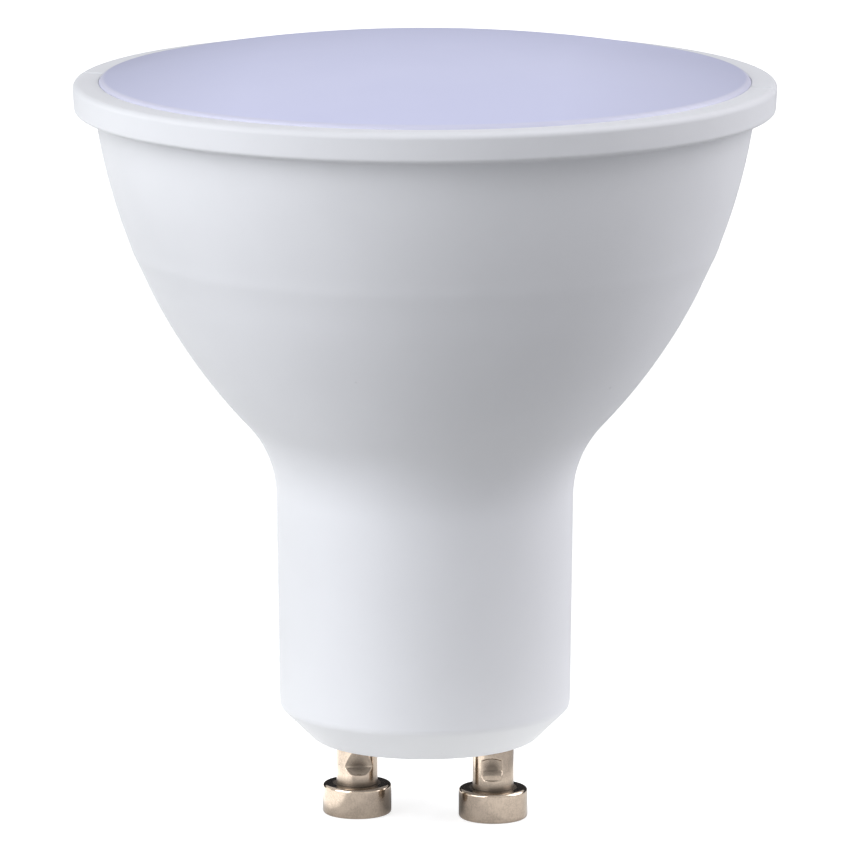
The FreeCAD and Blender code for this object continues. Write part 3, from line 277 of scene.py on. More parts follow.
def marked(sizes, point):
    """Move a point of the bell by the faint raised ring and by the sink below it."""
    above_ring = point.y - (sizes.rim_top - sizes.rim_height - sizes.ring_drop)
    raised = math.exp(-(above_ring / sizes.ring_spread) ** 2)
    sunk = math.exp(-((above_ring + sizes.sink_drop) / sizes.sink_spread) ** 2)
    return Vector((point.x + (raised - sizes.sink_share * sunk) * sizes.ring_mark, point.y))


def outside_line(sizes):
    """The housing's outside section, from the middle of the base to the cover's recess."""
    under = sizes.rim_top - sizes.rim_height
    bevel_top = Vector((sizes.neck_foot, sizes.base_under + sizes.bevel_height))
    mouth = Vector((sizes.rim_radius - sizes.rim_flange, under))
    bell = wall_line(sizes, 0.0, bevel_top, mouth, 0.25 * MM)
    recess = sizes.rim_radius - sizes.rim_land
    line = [
        (Vector((0.0, sizes.base_under)), 0.0),
        (Vector((sizes.neck_foot - sizes.bevel_width, sizes.base_under)), sizes.base_rounding),
        (bevel_top, sizes.neck_rounding),
    ]
    line += plain([marked(sizes, point) for point in bell[:-1]])
    line += [
        (mouth, sizes.rim_root),
        (Vector((sizes.rim_radius - sizes.rim_draft, under)), sizes.rim_rounding),
        (Vector((sizes.rim_radius, sizes.rim_top)), sizes.rim_top_rounding),
        (Vector((recess, sizes.rim_top)), sizes.recess_edge),
        (Vector((recess, sizes.rim_top - sizes.recess_depth)), 0.0),
    ]
    return rounded(line)


def housing_section(sizes):
    """The whole wall of the housing, from axis to axis."""
    ledge = sizes.rim_top - sizes.recess_depth
    throat = Vector((bell_radius_at(sizes, ledge, sizes.wall), ledge))
    floor_top = sizes.base_under + sizes.floor
    floor_edge = Vector((sizes.neck_foot - sizes.wall, floor_top))
    inside = wall_line(sizes, sizes.wall, floor_edge, throat, 1.0 * MM)
    inside.reverse()
    return outside_line(sizes) + [throat] + inside + [floor_edge, Vector((0.0, floor_top))]


def cover_section(sizes):
    """The cover: dome, edge, skirt and the dome's underside, from axis to axis."""
    edge_height = sizes.cover_crown - sizes.cover_rise
    ball = (sizes.cover_radius ** 2 + sizes.cover_rise ** 2) / (2 * sizes.cover_rise)
    centre = Vector((0.0, sizes.cover_crown - ball))
    crown = Vector((0.0, sizes.cover_crown))
    edge = Vector((sizes.cover_radius, edge_height))
    ledge = sizes.rim_top - sizes.recess_depth
    skirt = bell_radius_at(sizes, sizes.skirt_foot, sizes.wall + sizes.skirt_gap)
    bore = skirt - sizes.skirt_wall
    inner_ball = ball - sizes.cover_wall
    inner_edge = Vector((bore, centre.y + math.sqrt(inner_ball ** 2 - bore ** 2)))
    inner_crown = Vector((0.0, sizes.cover_crown - sizes.cover_wall))
    line = plain(arc_points(centre, crown, edge, 0.7 * MM)[:-1])
    line += [(edge, sizes.cover_rounding)]
    line += plain([
        Vector((sizes.cover_radius, ledge)),
        Vector((skirt, ledge)),
        Vector((skirt, sizes.skirt_foot)),
        Vector((bore, sizes.skirt_foot)),
    ])
    return rounded(line) + arc_points(centre, inner_edge, inner_crown, 1.5 * MM)


def pin_section(sizes):
    """A turned pin: head, stem, tenon, rolled end and blind bore, from axis to axis."""
    stem_foot = Vector((sizes.stem_radius, sizes.head_height))
    stem_top = Vector((sizes.stem_radius, sizes.base_under))
    roll_under = sizes.pin_top - sizes.rivet_height
    line = [
        (Vector((0.0, 0.0)), 0.0),
        (Vector((sizes.head_radius, 0.0)), sizes.head_rounding),
        (Vector((sizes.head_radius, sizes.head_height)), sizes.head_rounding),
    ]
    line += plain([stem_foot] + split_line(stem_foot, stem_top, 0.035 * MM) + [
        stem_top,
        Vector((sizes.tenon_radius, sizes.base_under)),
        Vector((sizes.tenon_radius, roll_under)),
        Vector((sizes.rivet_radius, roll_under)),
        Vector((sizes.rivet_radius, sizes.pin_top)),
        Vector((sizes.bore_radius, sizes.pin_top)),
        Vector((sizes.bore_radius, sizes.bore_floor)),
        Vector((0.0, sizes.bore_floor)),
    ])
    return rounded(line)


def tree_socket(tree, label, kind, way="INPUT"):
    """Add a named socket to a node tree and return it."""
    return tree.interface.new_socket(label, in_out=way, socket_type=kind)


def started_tree(name, inputs):
    """Start a tree with named inputs; return it, its input node and its output node."""
    tree = bpy.data.node_groups.new(name, "GeometryNodeTree")
    for label, kind in inputs:
        tree_socket(tree, label, kind)
    tree_socket(tree, "Finish", "NodeSocketMaterial")
    tree_socket(tree, "Piece", "NodeSocketGeometry", "OUTPUT")
    return tree, tree.nodes.new("NodeGroupInput"), tree.nodes.new("NodeGroupOutput")


def finished_tree(tree, geometry, given, result):
    """End a tree: smooth shading, real geometry and the finish."""
    smooth = tree.nodes.new("GeometryNodeSetShadeSmooth")
    real = tree.nodes.new("GeometryNodeRealizeInstances")
    paint = tree.nodes.new("GeometryNodeSetMaterial")
    tree.links.new(geometry, smooth.inputs["Geometry"])
    tree.links.new(smooth.outputs["Geometry"], real.inputs["Geometry"])
    tree.links.new(real.outputs["Geometry"], paint.inputs["Geometry"])
    tree.links.new(given.outputs["Finish"], paint.inputs["Material"])
    tree.links.new(paint.outputs["Geometry"], result.inputs["Piece"])
    return tree


def turning_tree():
    """Node tree that turns a section line round the upright axis and welds its poles."""
    tree, given, result = started_tree("turned_section", [
        ("Section", "NodeSocketGeometry"),
        ("Steps Round", "NodeSocketInt"),
        ("Rail Radius", "NodeSocketFloat"),
        ("Weld Distance", "NodeSocketFloat"),
    ])
    links = tree.links
    rail = tree.nodes.new("GeometryNodeCurvePrimitiveCircle")
    sweep = tree.nodes.new("GeometryNodeCurveToMesh")
    weld = tree.nodes.new("GeometryNodeMergeByDistance")
    links.new(given.outputs["Steps Round"], rail.inputs["Resolution"])
    links.new(given.outputs["Rail Radius"], rail.inputs["Radius"])
    links.new(rail.outputs["Curve"], sweep.inputs["Curve"])
    links.new(given.outputs["Section"], sweep.inputs["Profile Curve"])
    links.new(sweep.outputs["Mesh"], weld.inputs["Geometry"])
    links.new(given.outputs["Weld Distance"], weld.inputs["Distance"])
    return finished_tree(tree, weld.outputs["Geometry"], given, result)


def bead_tree():
    """Node tree that lays a fine round bead along a path, closed at its ends."""
    tree, given, result = started_tree("moulding_bead", [
        ("Path", "NodeSocketGeometry"),
        ("Bead Radius", "NodeSocketFloat"),
        ("Facets", "NodeSocketInt"),
    ])
    links = tree.links
    ring = tree.nodes.new("GeometryNodeCurvePrimitiveCircle")
    sweep = tree.nodes.new("GeometryNodeCurveToMesh")
    sweep.inputs["Fill Caps"].default_value = True
    links.new(given.outputs["Bead Radius"], ring.inputs["Radius"])
    links.new(given.outputs["Facets"], ring.inputs["Resolution"])
    links.new(given.outputs["Path"], sweep.inputs["Curve"])
    links.new(ring.outputs["Curve"], sweep.inputs["Profile Curve"])
    return finished_tree(tree, sweep.outputs["Mesh"], given, result)


def line_object(name, lines):
    """Make a curve object of straight-run lines from lists of points in space."""
    curve = bpy.data.curves.new(name, "CURVE")
    curve.dimensions = "3D"
    for points in lines:
        spline = curve.splines.new("POLY")
        spline.points.add(len(points) - 1)
        for item, point in zip(spline.points, points):
            item.co = (*point, 1.0)
    item = bpy.data.objects.new(name, curve)
    bpy.context.scene.collection.objects.link(item)
    return item


def baked(source, name, tree, values):
    """Run a node tree on an object and keep the result as a plain mesh piece."""
    modifier = source.modifiers.new("shape", "NODES")
    modifier.node_group = tree
    for item in tree.interface.items_tree:
        if item.in_out == "INPUT" and item.name in values:
            modifier[item.identifier] = values[item.name]
    graph = bpy.context.evaluated_depsgraph_get()
    mesh = bpy.data.meshes.new_from_object(source.evaluated_get(graph))
    source.modifiers.remove(modifier)
    bpy.data.objects.remove(source)
    mesh.name = name
    piece = bpy.data.objects.new(name, mesh)
    bpy.context.scene.collection.objects.link(piece)
    return piece


def face_outwards(mesh):
    """Turn every face outwards and keep the hard corners hard."""
    work = bmesh.new()
    work.from_mesh(mesh)
    bmesh.ops.recalc_face_normals(work, faces=work.faces)
    work.to_mesh(mesh)
    work.free()
    mesh.set_sharp_from_angle(angle=HARD_CORNER)


def turned(name, section, steps, finish):
    """Turn a section of (radius, height) points into a closed piece."""
    points = [(point.x - RAIL, -point.y, 0.0) for point in section]
    piece = baked(line_object(f"{name}_section", [points]), name, turning_tree(), {
        "Steps Round": steps,
        "Rail Radius": RAIL,
        "Weld Distance": WELD,
        "Finish": finish,
    })
    face_outwards(piece.data)
    return piece


def soft_step(value, low, high):
    """Rise smoothly from 0 at low to 1 at high."""
    share = max(0.0, min(1.0, (value - low) / (high - low)))
    return share * share * (3.0 - 2.0 * share)


def depth_at(mark, height):
    """Depth of a mark at a height, between the (height, depth) points of its section."""
    for (low, low_depth), (high, high_depth) in zip(mark, mark[1:]):
        if low <= height <= high:
            share = (height - low) / (high - low)
            return low_depth + (high_depth - low_depth) * share
    return 0.0


def press_crimp(mesh, sizes, turn, width, arch, mark):
    """Press a tool mark, arched above, into a stem, turned from its front."""
    half = width / 2
    across = Vector((math.cos(turn), math.sin(turn), 0.0))
    inwards = Vector((-math.sin(turn), math.cos(turn), 0.0))
    for vertex in mesh.vertices:
        x, y, z = vertex.co
        aside = vertex.co.dot(across)
        deep = vertex.co.dot(inwards)
        on_stem = abs(math.hypot(x, y) - sizes.stem_radius) < STEM_SKIN
        if not on_stem or deep > 0 or abs(aside) > half:
            continue
        share = (z - mark[0][0]) / (mark[-1][0] - mark[0][0])
        height = z + arch * share * (aside / half) ** 2
        flat = max(deep, depth_at(mark, height) - sizes.stem_radius)
        side = 1 - soft_step(abs(aside), half - sizes.crimp_edge, half)
        vertex.co += inwards * (flat - deep) * side


def shader_group(name, inputs, outputs):
    """Start a shader node group with named sockets."""
    group = bpy.data.node_groups.new(name, "ShaderNodeTree")
    for label, kind, default in inputs:
        socket = tree_socket(group, label, kind)
        if default is not None:
            socket.default_value = default
    for label, kind in outputs:
        tree_socket(group, label, kind, "OUTPUT")
    given = group.nodes.new("NodeGroupInput")
    result = group.nodes.new("NodeGroupOutput")
    return group, given, result


def math_node(tree, operation, first, second=0.0, clamp=False):
    """Add a Math node. Each operand is a number or a socket."""
    node = tree.nodes.new("ShaderNodeMath")
    node.operation = operation
    node.use_clamp = clamp
    for socket, operand in zip(node.inputs, (first, second)):
        if isinstance(operand, (int, float)):
            socket.default_value = operand
        else:
            tree.links.new(operand, socket)
    return node.outputs[0]


def noise_node(tree, coordinates, scale, detail):
    """Add a Noise Texture. Scale is a number or a socket."""
    node = tree.nodes.new("ShaderNodeTexNoise")
    tree.links.new(coordinates, node.inputs["Vector"])
    node.inputs["Detail"].default_value = detail
    if isinstance(scale, (int, float)):
        node.inputs["Scale"].default_value = scale
    else:
        tree.links.new(scale, node.inputs["Scale"])
    return node.outputs["Fac"]


def grain_group():
    """Moulded skin: fine grain as a height, slow patches as a value."""
    group, given, result = shader_group("moulded_grain", [
        ("Coordinates", "NodeSocketVector", None),
        ("Grain Scale", "NodeSocketFloat", 9000.0),
        ("Patch Scale", "NodeSocketFloat", 90.0),
    ], [("Height", "NodeSocketFloat"), ("Patches", "NodeSocketFloat")])
    where = given.outputs["Coordinates"]
    height = noise_node(group, where, given.outputs["Grain Scale"], 2.0)
    patches = noise_node(group, where, given.outputs["Patch Scale"], 3.0)
    group.links.new(height, result.inputs["Height"])
    group.links.new(patches, result.inputs["Patches"])
    return group


def speck_group():
    """Sparse round specks: tiny pits and dust, as a mask."""
    group, given, result = shader_group("fine_specks", [
        ("Coordinates", "NodeSocketVector", None),
        ("Scale", "NodeSocketFloat", 420.0),
        ("Speck Size", "NodeSocketFloat", 0.09),
        ("Share", "NodeSocketFloat", 0.06),
    ], [("Mask", "NodeSocketFloat")])
    cells = group.nodes.new("ShaderNodeTexVoronoi")
    group.links.new(given.outputs["Coordinates"], cells.inputs["Vector"])
    group.links.new(given.outputs["Scale"], cells.inputs["Scale"])
    split = group.nodes.new("ShaderNodeSeparateColor")
    group.links.new(cells.outputs["Color"], split.inputs["Color"])
    chosen = math_node(group, "LESS_THAN", split.outputs["Red"], given.outputs["Share"])
    size = math_node(group, "MULTIPLY", given.outputs["Speck Size"], split.outputs["Green"])
    near = math_node(group, "SUBTRACT", size, cells.outputs["Distance"])
    sharp = math_node(group, "MULTIPLY", near, 40.0, clamp=True)
    group.links.new(math_node(group, "MULTIPLY", chosen, sharp), result.inputs["Mask"])
    return group


def lathe_group():
    """Fine turning lines of metal: rings on flats and barrels, as a height and a value."""
    group, given, result = shader_group("turning_lines", [
        ("Coordinates", "NodeSocketVector", None),
        ("Line Scale", "NodeSocketFloat", 9000.0),
    ], [("Height", "NodeSocketFloat"), ("Lines", "NodeSocketFloat")])
    split = group.nodes.new("ShaderNodeSeparateXYZ")
    group.links.new(given.outputs["Coordinates"], split.inputs["Vector"])
    across = math_node(group, "MULTIPLY", split.outputs["X"], split.outputs["X"])
    along = math_node(group, "MULTIPLY", split.outputs["Y"], split.outputs["Y"])
    radius = math_node(group, "SQRT", math_node(group, "ADD", across, along))
    merge = group.nodes.new("ShaderNodeCombineXYZ")
    group.links.new(radius, merge.inputs["X"])
    group.links.new(split.outputs["Z"], merge.inputs["Y"])
    lines = noise_node(group, merge.outputs["Vector"], given.outputs["Line Scale"], 1.0)
    broad = noise_node(group, merge.outputs["Vector"], 900.0, 2.0)
    group.links.new(lines, result.inputs["Height"])
    group.links.new(math_node(group, "MULTIPLY", lines, broad), result.inputs["Lines"])
    return group


GROUP_MAKERS = {
    "moulded_grain": grain_group,
    "fine_specks": speck_group,
    "turning_lines": lathe_group,
}


def effect(tree, name, coordinates, **values):
    """Place a shared effect in a material, with its own values."""
    group = bpy.data.node_groups.get(name) or GROUP_MAKERS[name]()
    node = tree.nodes.new("ShaderNodeGroup")
    node.node_tree = group
    tree.links.new(coordinates, node.inputs["Coordinates"])
    for label, value in values.items():
        node.inputs[label.replace("_", " ")].default_value = value
    return node


def blended(tree, share, first, second):
    """Mix two colours by a value socket."""
    mix = tree.nodes.new("ShaderNodeMix")
    mix.data_type = "RGBA"
    tree.links.new(share, mix.inputs["Factor"])
    for socket, colour in ((mix.inputs[6], first), (mix.inputs[7], second)):
        if isinstance(colour, bpy.types.NodeSocket):
            tree.links.new(colour, socket)
        else:
            socket.default_value = (*colour, 1.0)
    return mix.outputs[2]


def axis_value(tree, coordinates, axis):
    """One axis of the coordinates as a value."""
    node = tree.nodes.new("ShaderNodeSeparateXYZ")
    tree.links.new(coordinates, node.inputs["Vector"])
    return node.outputs[axis]


def distance_node(tree, coordinates, point):
    """Distance of the coordinates from a point, as a value."""
    node = tree.nodes.new("ShaderNodeVectorMath")
    node.operation = "DISTANCE"
    tree.links.new(coordinates, node.inputs[0])
    node.inputs[1].default_value = point
    return node.outputs["Value"]


def ranged(tree, value, low, high, out_low, out_high):
    """Map a value from one range to another."""
    node = tree.nodes.new("ShaderNodeMapRange")
    tree.links.new(value, node.inputs["Value"])
    for label, number in (("From Min", low), ("From Max", high),
                          ("To Min", out_low), ("To Max", out_high)):
        node.inputs[label].default_value = number
    return node.outputs["Result"]


def bumped(tree, height, shader, distance, strength=1.0):
    """Feed a height to the shader's normal."""
    node = tree.nodes.new("ShaderNodeBump")
    node.inputs["Distance"].default_value = distance
    node.inputs["Strength"].default_value = strength
    tree.links.new(height, node.inputs["Height"])
    tree.links.new(node.outputs["Normal"], shader.inputs["Normal"])


def new_finish(name, centre=(0.0, 0.0, 0.0)):
    """Start a material; return it, its tree, its shader and its coordinates."""
    material = bpy.data.materials.new(name)
    material.use_nodes = True
    tree = material.node_tree
    shader = tree.nodes["Principled BSDF"]
    place = tree.nodes.new("ShaderNodeTexCoord")
    shift = tree.nodes.new("ShaderNodeMapping")
    shift.inputs["Location"].default_value = [-number for number in centre]
    tree.links.new(place.outputs["Object"], shift.inputs["Vector"])
    return material, tree, shader, shift.outputs["Vector"]


def plastic_finish(name, colour, roughness):
    """Moulded plastic: fine grain, slow patches of gloss and a few specks."""
    material, tree, shader, where = new_finish(name)
    shader.inputs["Specular IOR Level"].default_value = 0.3
    grain_node = effect(tree, "moulded_grain", where)
    speck_node = effect(tree, "fine_specks", where, Share=0.05)
    darker = [number * 0.93 for number in colour]
    dusty = [number * 0.85 for number in colour]
    patches = ranged(tree, grain_node.outputs["Patches"], 0.35, 0.65, 0.0, 0.35)
    base = blended(tree, patches, colour, darker)
    tree.links.new(blended(tree, speck_node.outputs["Mask"], base, dusty),
                   shader.inputs["Base Color"])
    tree.links.new(ranged(tree, grain_node.outputs["Patches"], 0.35, 0.65,
                          roughness - 0.03, roughness + 0.04), shader.inputs["Roughness"])
    bumped(tree, grain_node.outputs["Height"], shader, 0.002 * MM)
    return material


def metal_finish(name, colour, roughness, lines=9000.0):
    """Turned or drawn metal: fine lines and faint stains."""
    material, tree, shader, where = new_finish(name)
    lathe = effect(tree, "turning_lines", where, Line_Scale=lines)
    grain_node = effect(tree, "moulded_grain", where, Patch_Scale=600.0)
    shader.inputs["Metallic"].default_value = 1.0
    darker = [number * 0.82 for number in colour]
    stains = ranged(tree, grain_node.outputs["Patches"], 0.4, 0.7, 0.0, 0.6)
    tree.links.new(blended(tree, stains, colour, darker), shader.inputs["Base Color"])
    tree.links.new(ranged(tree, lathe.outputs["Lines"], 0.1, 0.5,
                          roughness - 0.04, roughness + 0.08), shader.inputs["Roughness"])
    bumped(tree, lathe.outputs["Height"], shader, 0.0015 * MM)
    return material


def plated_finish(name, colour, roughness, centre, sizes):
    """Plated pin: speckled nickel with fine lines and pits, and painted shade darkening its
    crimp marks and the stem's foot above the head.
    """
    material, tree, shader, where = new_finish(name, centre)
    lathe = effect(tree, "turning_lines", where, Line_Scale=24000.0)
    mottle = effect(tree, "moulded_grain", where, Grain_Scale=9000.0, Patch_Scale=1500.0)
    pits = effect(tree, "fine_specks", where, Scale=2400.0, Speck_Size=0.25, Share=0.07)
    shader.inputs["Metallic"].default_value = 1.0
    darker = [number * 0.82 for number in colour]
    pit_and_shade_colour = [number * 0.22 for number in colour]
    speckle = math_node(tree, "MULTIPLY", mottle.outputs["Height"], mottle.outputs["Patches"])
    plate = blended(tree, ranged(tree, speckle, 0.16, 0.34, 0.0, 1.0), colour, darker)
    split = tree.nodes.new("ShaderNodeSeparateXYZ")
    flat = tree.nodes.new("ShaderNodeCombineXYZ")
    tree.links.new(where, split.inputs["Vector"])
    tree.links.new(split.outputs["X"], flat.inputs["X"])
    tree.links.new(split.outputs["Y"], flat.inputs["Y"])
    radius = distance_node(tree, flat.outputs["Vector"], (0.0, 0.0, 0.0))
    # Painted shade: the crimp marks darken where they are pressed deepest.
    painted_mark_shade = ranged(tree, radius, sizes.stem_radius - 0.34 * MM,
                     sizes.stem_radius - 0.12 * MM, 0.85, 0.0)
    above = ranged(tree, split.outputs["Z"], sizes.head_height - 0.05 * MM,
                   sizes.head_height, 0.0, 1.0)
    # Painted shade: the stem's foot darkens just above the head.
    corner = ranged(tree, split.outputs["Z"], sizes.head_height + 0.15 * MM,
                    sizes.head_height + 0.75 * MM, 0.95, 0.0)
    near = ranged(tree, radius, sizes.stem_radius, sizes.stem_radius + 0.5 * MM, 1.0, 0.0)
    corner = math_node(tree, "MULTIPLY", corner, near)
    pits_and_painted_shade = math_node(tree, "MULTIPLY", above, math_node(tree, "MAXIMUM", painted_mark_shade, corner))
    # The tiny pits are real; they take the same dark colour as the painted shade.
    pits_and_painted_shade = math_node(tree, "MAXIMUM", pits_and_painted_shade, pits.outputs["Mask"])
    tree.links.new(blended(tree, pits_and_painted_shade, plate, pit_and_shade_colour), shader.inputs["Base Color"])
    clean = ranged(tree, mottle.outputs["Patches"], 0.3, 0.7, roughness - 0.03, roughness + 0.05)
    dull = ranged(tree, pits_and_painted_shade, 0.0, 1.0, 0.0, 0.5)
    tree.links.new(math_node(tree, "MAXIMUM", clean, dull), shader.inputs["Roughness"])
    bumped(tree, lathe.outputs["Height"], shader, 0.0015 * MM)
    return material


def cover_finish(colours):
    """Milky cover: slightly glossy, with painted shade darkening both ends and a painted
    highlight round its edge.
    """
    material, tree, shader, where = new_finish("cover_milky_plastic")
    grain_node = effect(tree, "moulded_grain", where, Grain_Scale=6000.0, Patch_Scale=60.0)
    speck_node = effect(tree, "fine_specks", where, Share=0.02)
    colour = colours.cover
    end_shade_and_tone_colour = [number * 0.81 for number in colour]
    dusty = [number * 0.8 for number in colour]
    edge_highlight_colour = (0.64, 0.64, 0.76)
    # Painted shade: the cover darkens towards both ends along X, and slow patches add a random
    # tone.
    aside = math_node(tree, "ABSOLUTE", axis_value(tree, where, "X"))
    ends = ranged(tree, aside, 10 * MM, 23 * MM, 0.0, 1.0)
    patches = ranged(tree, grain_node.outputs["Patches"], 0.35, 0.65, 0.0, 0.15)
    base = blended(tree, math_node(tree, "MAXIMUM", ends, patches), colour, end_shade_and_tone_colour)
    spotted = blended(tree, speck_node.outputs["Mask"], base, dusty)
    # Painted highlight: a pale ring round the cover's edge.
    out = distance_node(tree, where, (0.0, 0.0, COVER_BOX[1].z - 2 * MM))
    edge = ranged(tree, out, 22.9 * MM, 23.1 * MM, 0.0, 0.8)
    tree.links.new(blended(tree, edge, spotted, edge_highlight_colour), shader.inputs["Base Color"])
    tree.links.new(ranged(tree, grain_node.outputs["Patches"], 0.35, 0.65, 0.38, 0.46),
                   shader.inputs["Roughness"])
    bumped(tree, grain_node.outputs["Height"], shader, 0.0004 * MM)
    return material


def board_finish(name, colour, line_colour):
    """Circuit board: lacquer over a weave of glass fibre."""
    material, tree, shader, where = new_finish(name)
    weave = tree.nodes.new("ShaderNodeTexBrick")
    weave.inputs["Scale"].default_value = 900.0
    weave.inputs["Mortar Size"].default_value = 0.03
    weave.inputs["Color1"].default_value = (*colour, 1.0)
    weave.inputs["Color2"].default_value = (*[number * 0.85 for number in colour], 1.0)
    weave.inputs["Mortar"].default_value = (*line_colour, 1.0)
    tree.links.new(where, weave.inputs["Vector"])
    grain_node = effect(tree, "moulded_grain", where, Patch_Scale=200.0)
    tree.links.new(weave.outputs["Color"], shader.inputs["Base Color"])
    tree.links.new(ranged(tree, grain_node.outputs["Patches"], 0.3, 0.7, 0.28, 0.42),
                   shader.inputs["Roughness"])
    bumped(tree, weave.outputs["Fac"], shader, 0.01 * MM, 0.3)
    return material


def floor_finish(colours):
    """Pale floor that the camera sees as white, apart from the bulb's soft shadow; glossy rays
    see a painted shadow round the pins and painted light to the left.
    """
    material, tree, shader, where = new_finish("studio_floor")
    shader.inputs["Base Color"].default_value = (*colours.floor, 1.0)
    shader.inputs["Roughness"].default_value = 0.9
    shader.inputs["Emission Color"].default_value = (1.0, 1.0, 1.0, 1.0)
    rays = tree.nodes.new("ShaderNodeLightPath")
    straight = math_node(tree, "MAXIMUM", rays.outputs["Is Camera Ray"],
                         rays.outputs["Is Transmission Ray"])
    white = ranged(tree, distance_node(tree, where, (0.0, 0.0, 0.0)),
                   80 * MM, 350 * MM, NEAR_LIFT, 1.0)
    # Painted shadow and light for glossy rays: the mirrored floor is dark close behind the pins
    # and brighter to the left.
    mirror_painted_shadow = ranged(tree, distance_node(tree, where, (0.0, 3 * MM, 0.0)),
                    2.5 * MM, 5.5 * MM, 0.0, MIRROR_LIFT)
    mirror_painted_light = math_node(tree, "MULTIPLY", mirror_painted_shadow,
                    ranged(tree, axis_value(tree, where, "X"), -10.6 * MM, -8.8 * MM,
                           PAINTED_LEFT_LIGHT, 1.0))
    seen = math_node(tree, "MULTIPLY", straight, white)
    mirrored = math_node(tree, "MULTIPLY", rays.outputs["Is Glossy Ray"], mirror_painted_light)
    tree.links.new(math_node(tree, "ADD", seen, mirrored), shader.inputs["Emission Strength"])
    return material


def glow_finish():
    """Light that the floor round the base throws up at the bulb."""
    material, tree, shader, where = new_finish("floor_glow")
    shader.inputs["Base Color"].default_value = (0.0, 0.0, 0.0, 1.0)
    shader.inputs["Emission Color"].default_value = (0.95, 0.95, 0.94, 1.0)
    outwards = ranged(tree, distance_node(tree, where, (0.0, 0.0, 0.0)),
                      10 * MM, 15 * MM, 0.78, 1.16)
    aside = ranged(tree, axis_value(tree, where, "X"), -12 * MM, 12 * MM, 0.8, 1.4)
    tree.links.new(math_node(tree, "MULTIPLY", outwards, aside),
                   shader.inputs["Emission Strength"])
    return material


def card_finish():
    """Dark card of the studio."""
    material, _, shader, _ = new_finish("dark_card")
    shader.inputs["Base Color"].default_value = (0.02, 0.02, 0.022, 1.0)
    shader.inputs["Roughness"].default_value = 1.0
    return material


def white_world():
    """World that is white where it is seen and gives no light."""
    world = bpy.data.worlds.new("studio_world")
    bpy.context.scene.world = world
    world.use_nodes = True
    tree = world.node_tree
    background = tree.nodes["Background"]
    background.inputs["Color"].default_value = (1.0, 1.0, 1.0, 1.0)
    rays = tree.nodes.new("ShaderNodeLightPath")
    seen = math_node(tree, "MAXIMUM", rays.outputs["Is Camera Ray"],
                     rays.outputs["Is Glossy Ray"])
    seen = math_node(tree, "MAXIMUM", seen, rays.outputs["Is Transmission Ray"])
    tree.links.new(seen, background.inputs["Strength"])


def soft_lamp(name, azimuth, elevation, size, energy, colour):
    """Square soft lamp at an angle round the bulb, turned to the bulb's middle."""
    lamp = bpy.data.lights.new(name, "AREA")
    lamp.shape = "SQUARE"
    lamp.size = size
    lamp.energy = energy
    lamp.color = colour
    item = bpy.data.objects.new(name, lamp)
    turn, lift = math.radians(azimuth), math.radians(elevation)
    away = Vector((math.sin(turn) * math.cos(lift), -math.cos(turn) * math.cos(lift),
                   math.sin(lift)))
    item.location = Vector((0.0, 0.0, LAMP_AIM)) + away * LAMP_REACH
    item.rotation_mode = "QUATERNION"
    item.rotation_quaternion = away.to_track_quat("Z", "Y")
    item.visible_camera = False
    bpy.context.scene.collection.objects.link(item)


def stage_piece(name, faces, material):
    """Make a flat thing of the stage from faces of corner points."""
    work = bmesh.new()
    for corners in faces:
        work.faces.new([work.verts.new(corner) for corner in corners])
    bmesh.ops.remove_doubles(work, verts=work.verts, dist=WELD)
    mesh = bpy.data.meshes.new(name)
    work.to_mesh(mesh)
    work.free()
    mesh.materials.append(material)
    item = bpy.data.objects.new(name, mesh)
    bpy.context.scene.collection.objects.link(item)
    return item


def circle(radius, height, count=96):
    """Points of a level circle."""
    return [(radius * math.cos(2 * math.pi * index / count),
             radius * math.sin(2 * math.pi * index / count), height)
            for index in range(count)]


def ring_faces(inner, outer, height):
    """Faces of a level ring."""
    inside, outside = circle(inner, height), circle(outer, height)
    return [(inside[index - 1], outside[index - 1], outside[index], inside[index])
            for index in range(len(inside))]


def unseen(item, **rays):
    """Hide a stage piece from the camera and cast no shadow, and set other rays."""
    item.visible_camera = False
    item.visible_shadow = False
    item.visible_transmission = False
    for label, value in rays.items():
        setattr(item, f"visible_{label}", value)


def worn(piece, material):
    """Give a made piece its material and let it ride on the bulb's body."""
    piece.data.materials.clear()
    piece.data.materials.append(material)
    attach(piece, BODY)


def finish_named(name, maker):
    """Find a finish that is made already, or make it."""
    return bpy.data.materials.get(name) or maker()


def housing_finish(colours):
    """The housing's white plastic."""
    return finish_named("housing_white_plastic", lambda: plastic_finish(
        "housing_white_plastic", colours.plastic, 0.55))


class BulbOperator:
    """What all operators of the bulb share."""

    bl_options = {"REGISTER", "UNDO"}


class BULB_OT_stage(BulbOperator, bpy.types.Operator):
    """Make the floor, the lamps, the world and the camera."""

    bl_idname = "bulb.stage"
    bl_label = "Stage"

    def execute(self, context):
        scene = context.scene
        scene.view_settings.view_transform = "Standard"
        colours = scene.bulb_colours
        stage_piece("studio_floor", [circle(FLOOR_RADIUS, 0.0)], floor_finish(colours))
        glow = stage_piece("floor_glow", ring_faces(GLOW_INNER, GLOW_OUTER, GLOW_HEIGHT),
                           glow_finish())
        unseen(glow, glossy=False)
        corners = ((-CARD_HALF, CARD_LOW), (CARD_HALF, CARD_LOW),
                   (CARD_HALF, CARD_HIGH), (-CARD_HALF, CARD_HIGH))
        card = stage_piece("back_card", [[(x, CARD_BACK, z) for x, z in corners]],
                           card_finish())
        unseen(card, diffuse=False)
        white_world()
        for lamp in LAMPS:
            soft_lamp(*lamp)
        camera = bpy.data.objects.new("camera", bpy.data.cameras.new("camera"))
        camera.location = CAMERA_PLACE
        camera.rotation_euler = (math.radians(CAMERA_TILT), 0.0, math.radians(CAMERA_TURN))
        camera.data.sensor_width = CAMERA_SENSOR
        camera.data.lens = CAMERA_LENS
        scene.collection.objects.link(camera)
        scene.camera = camera
        return {"FINISHED"}


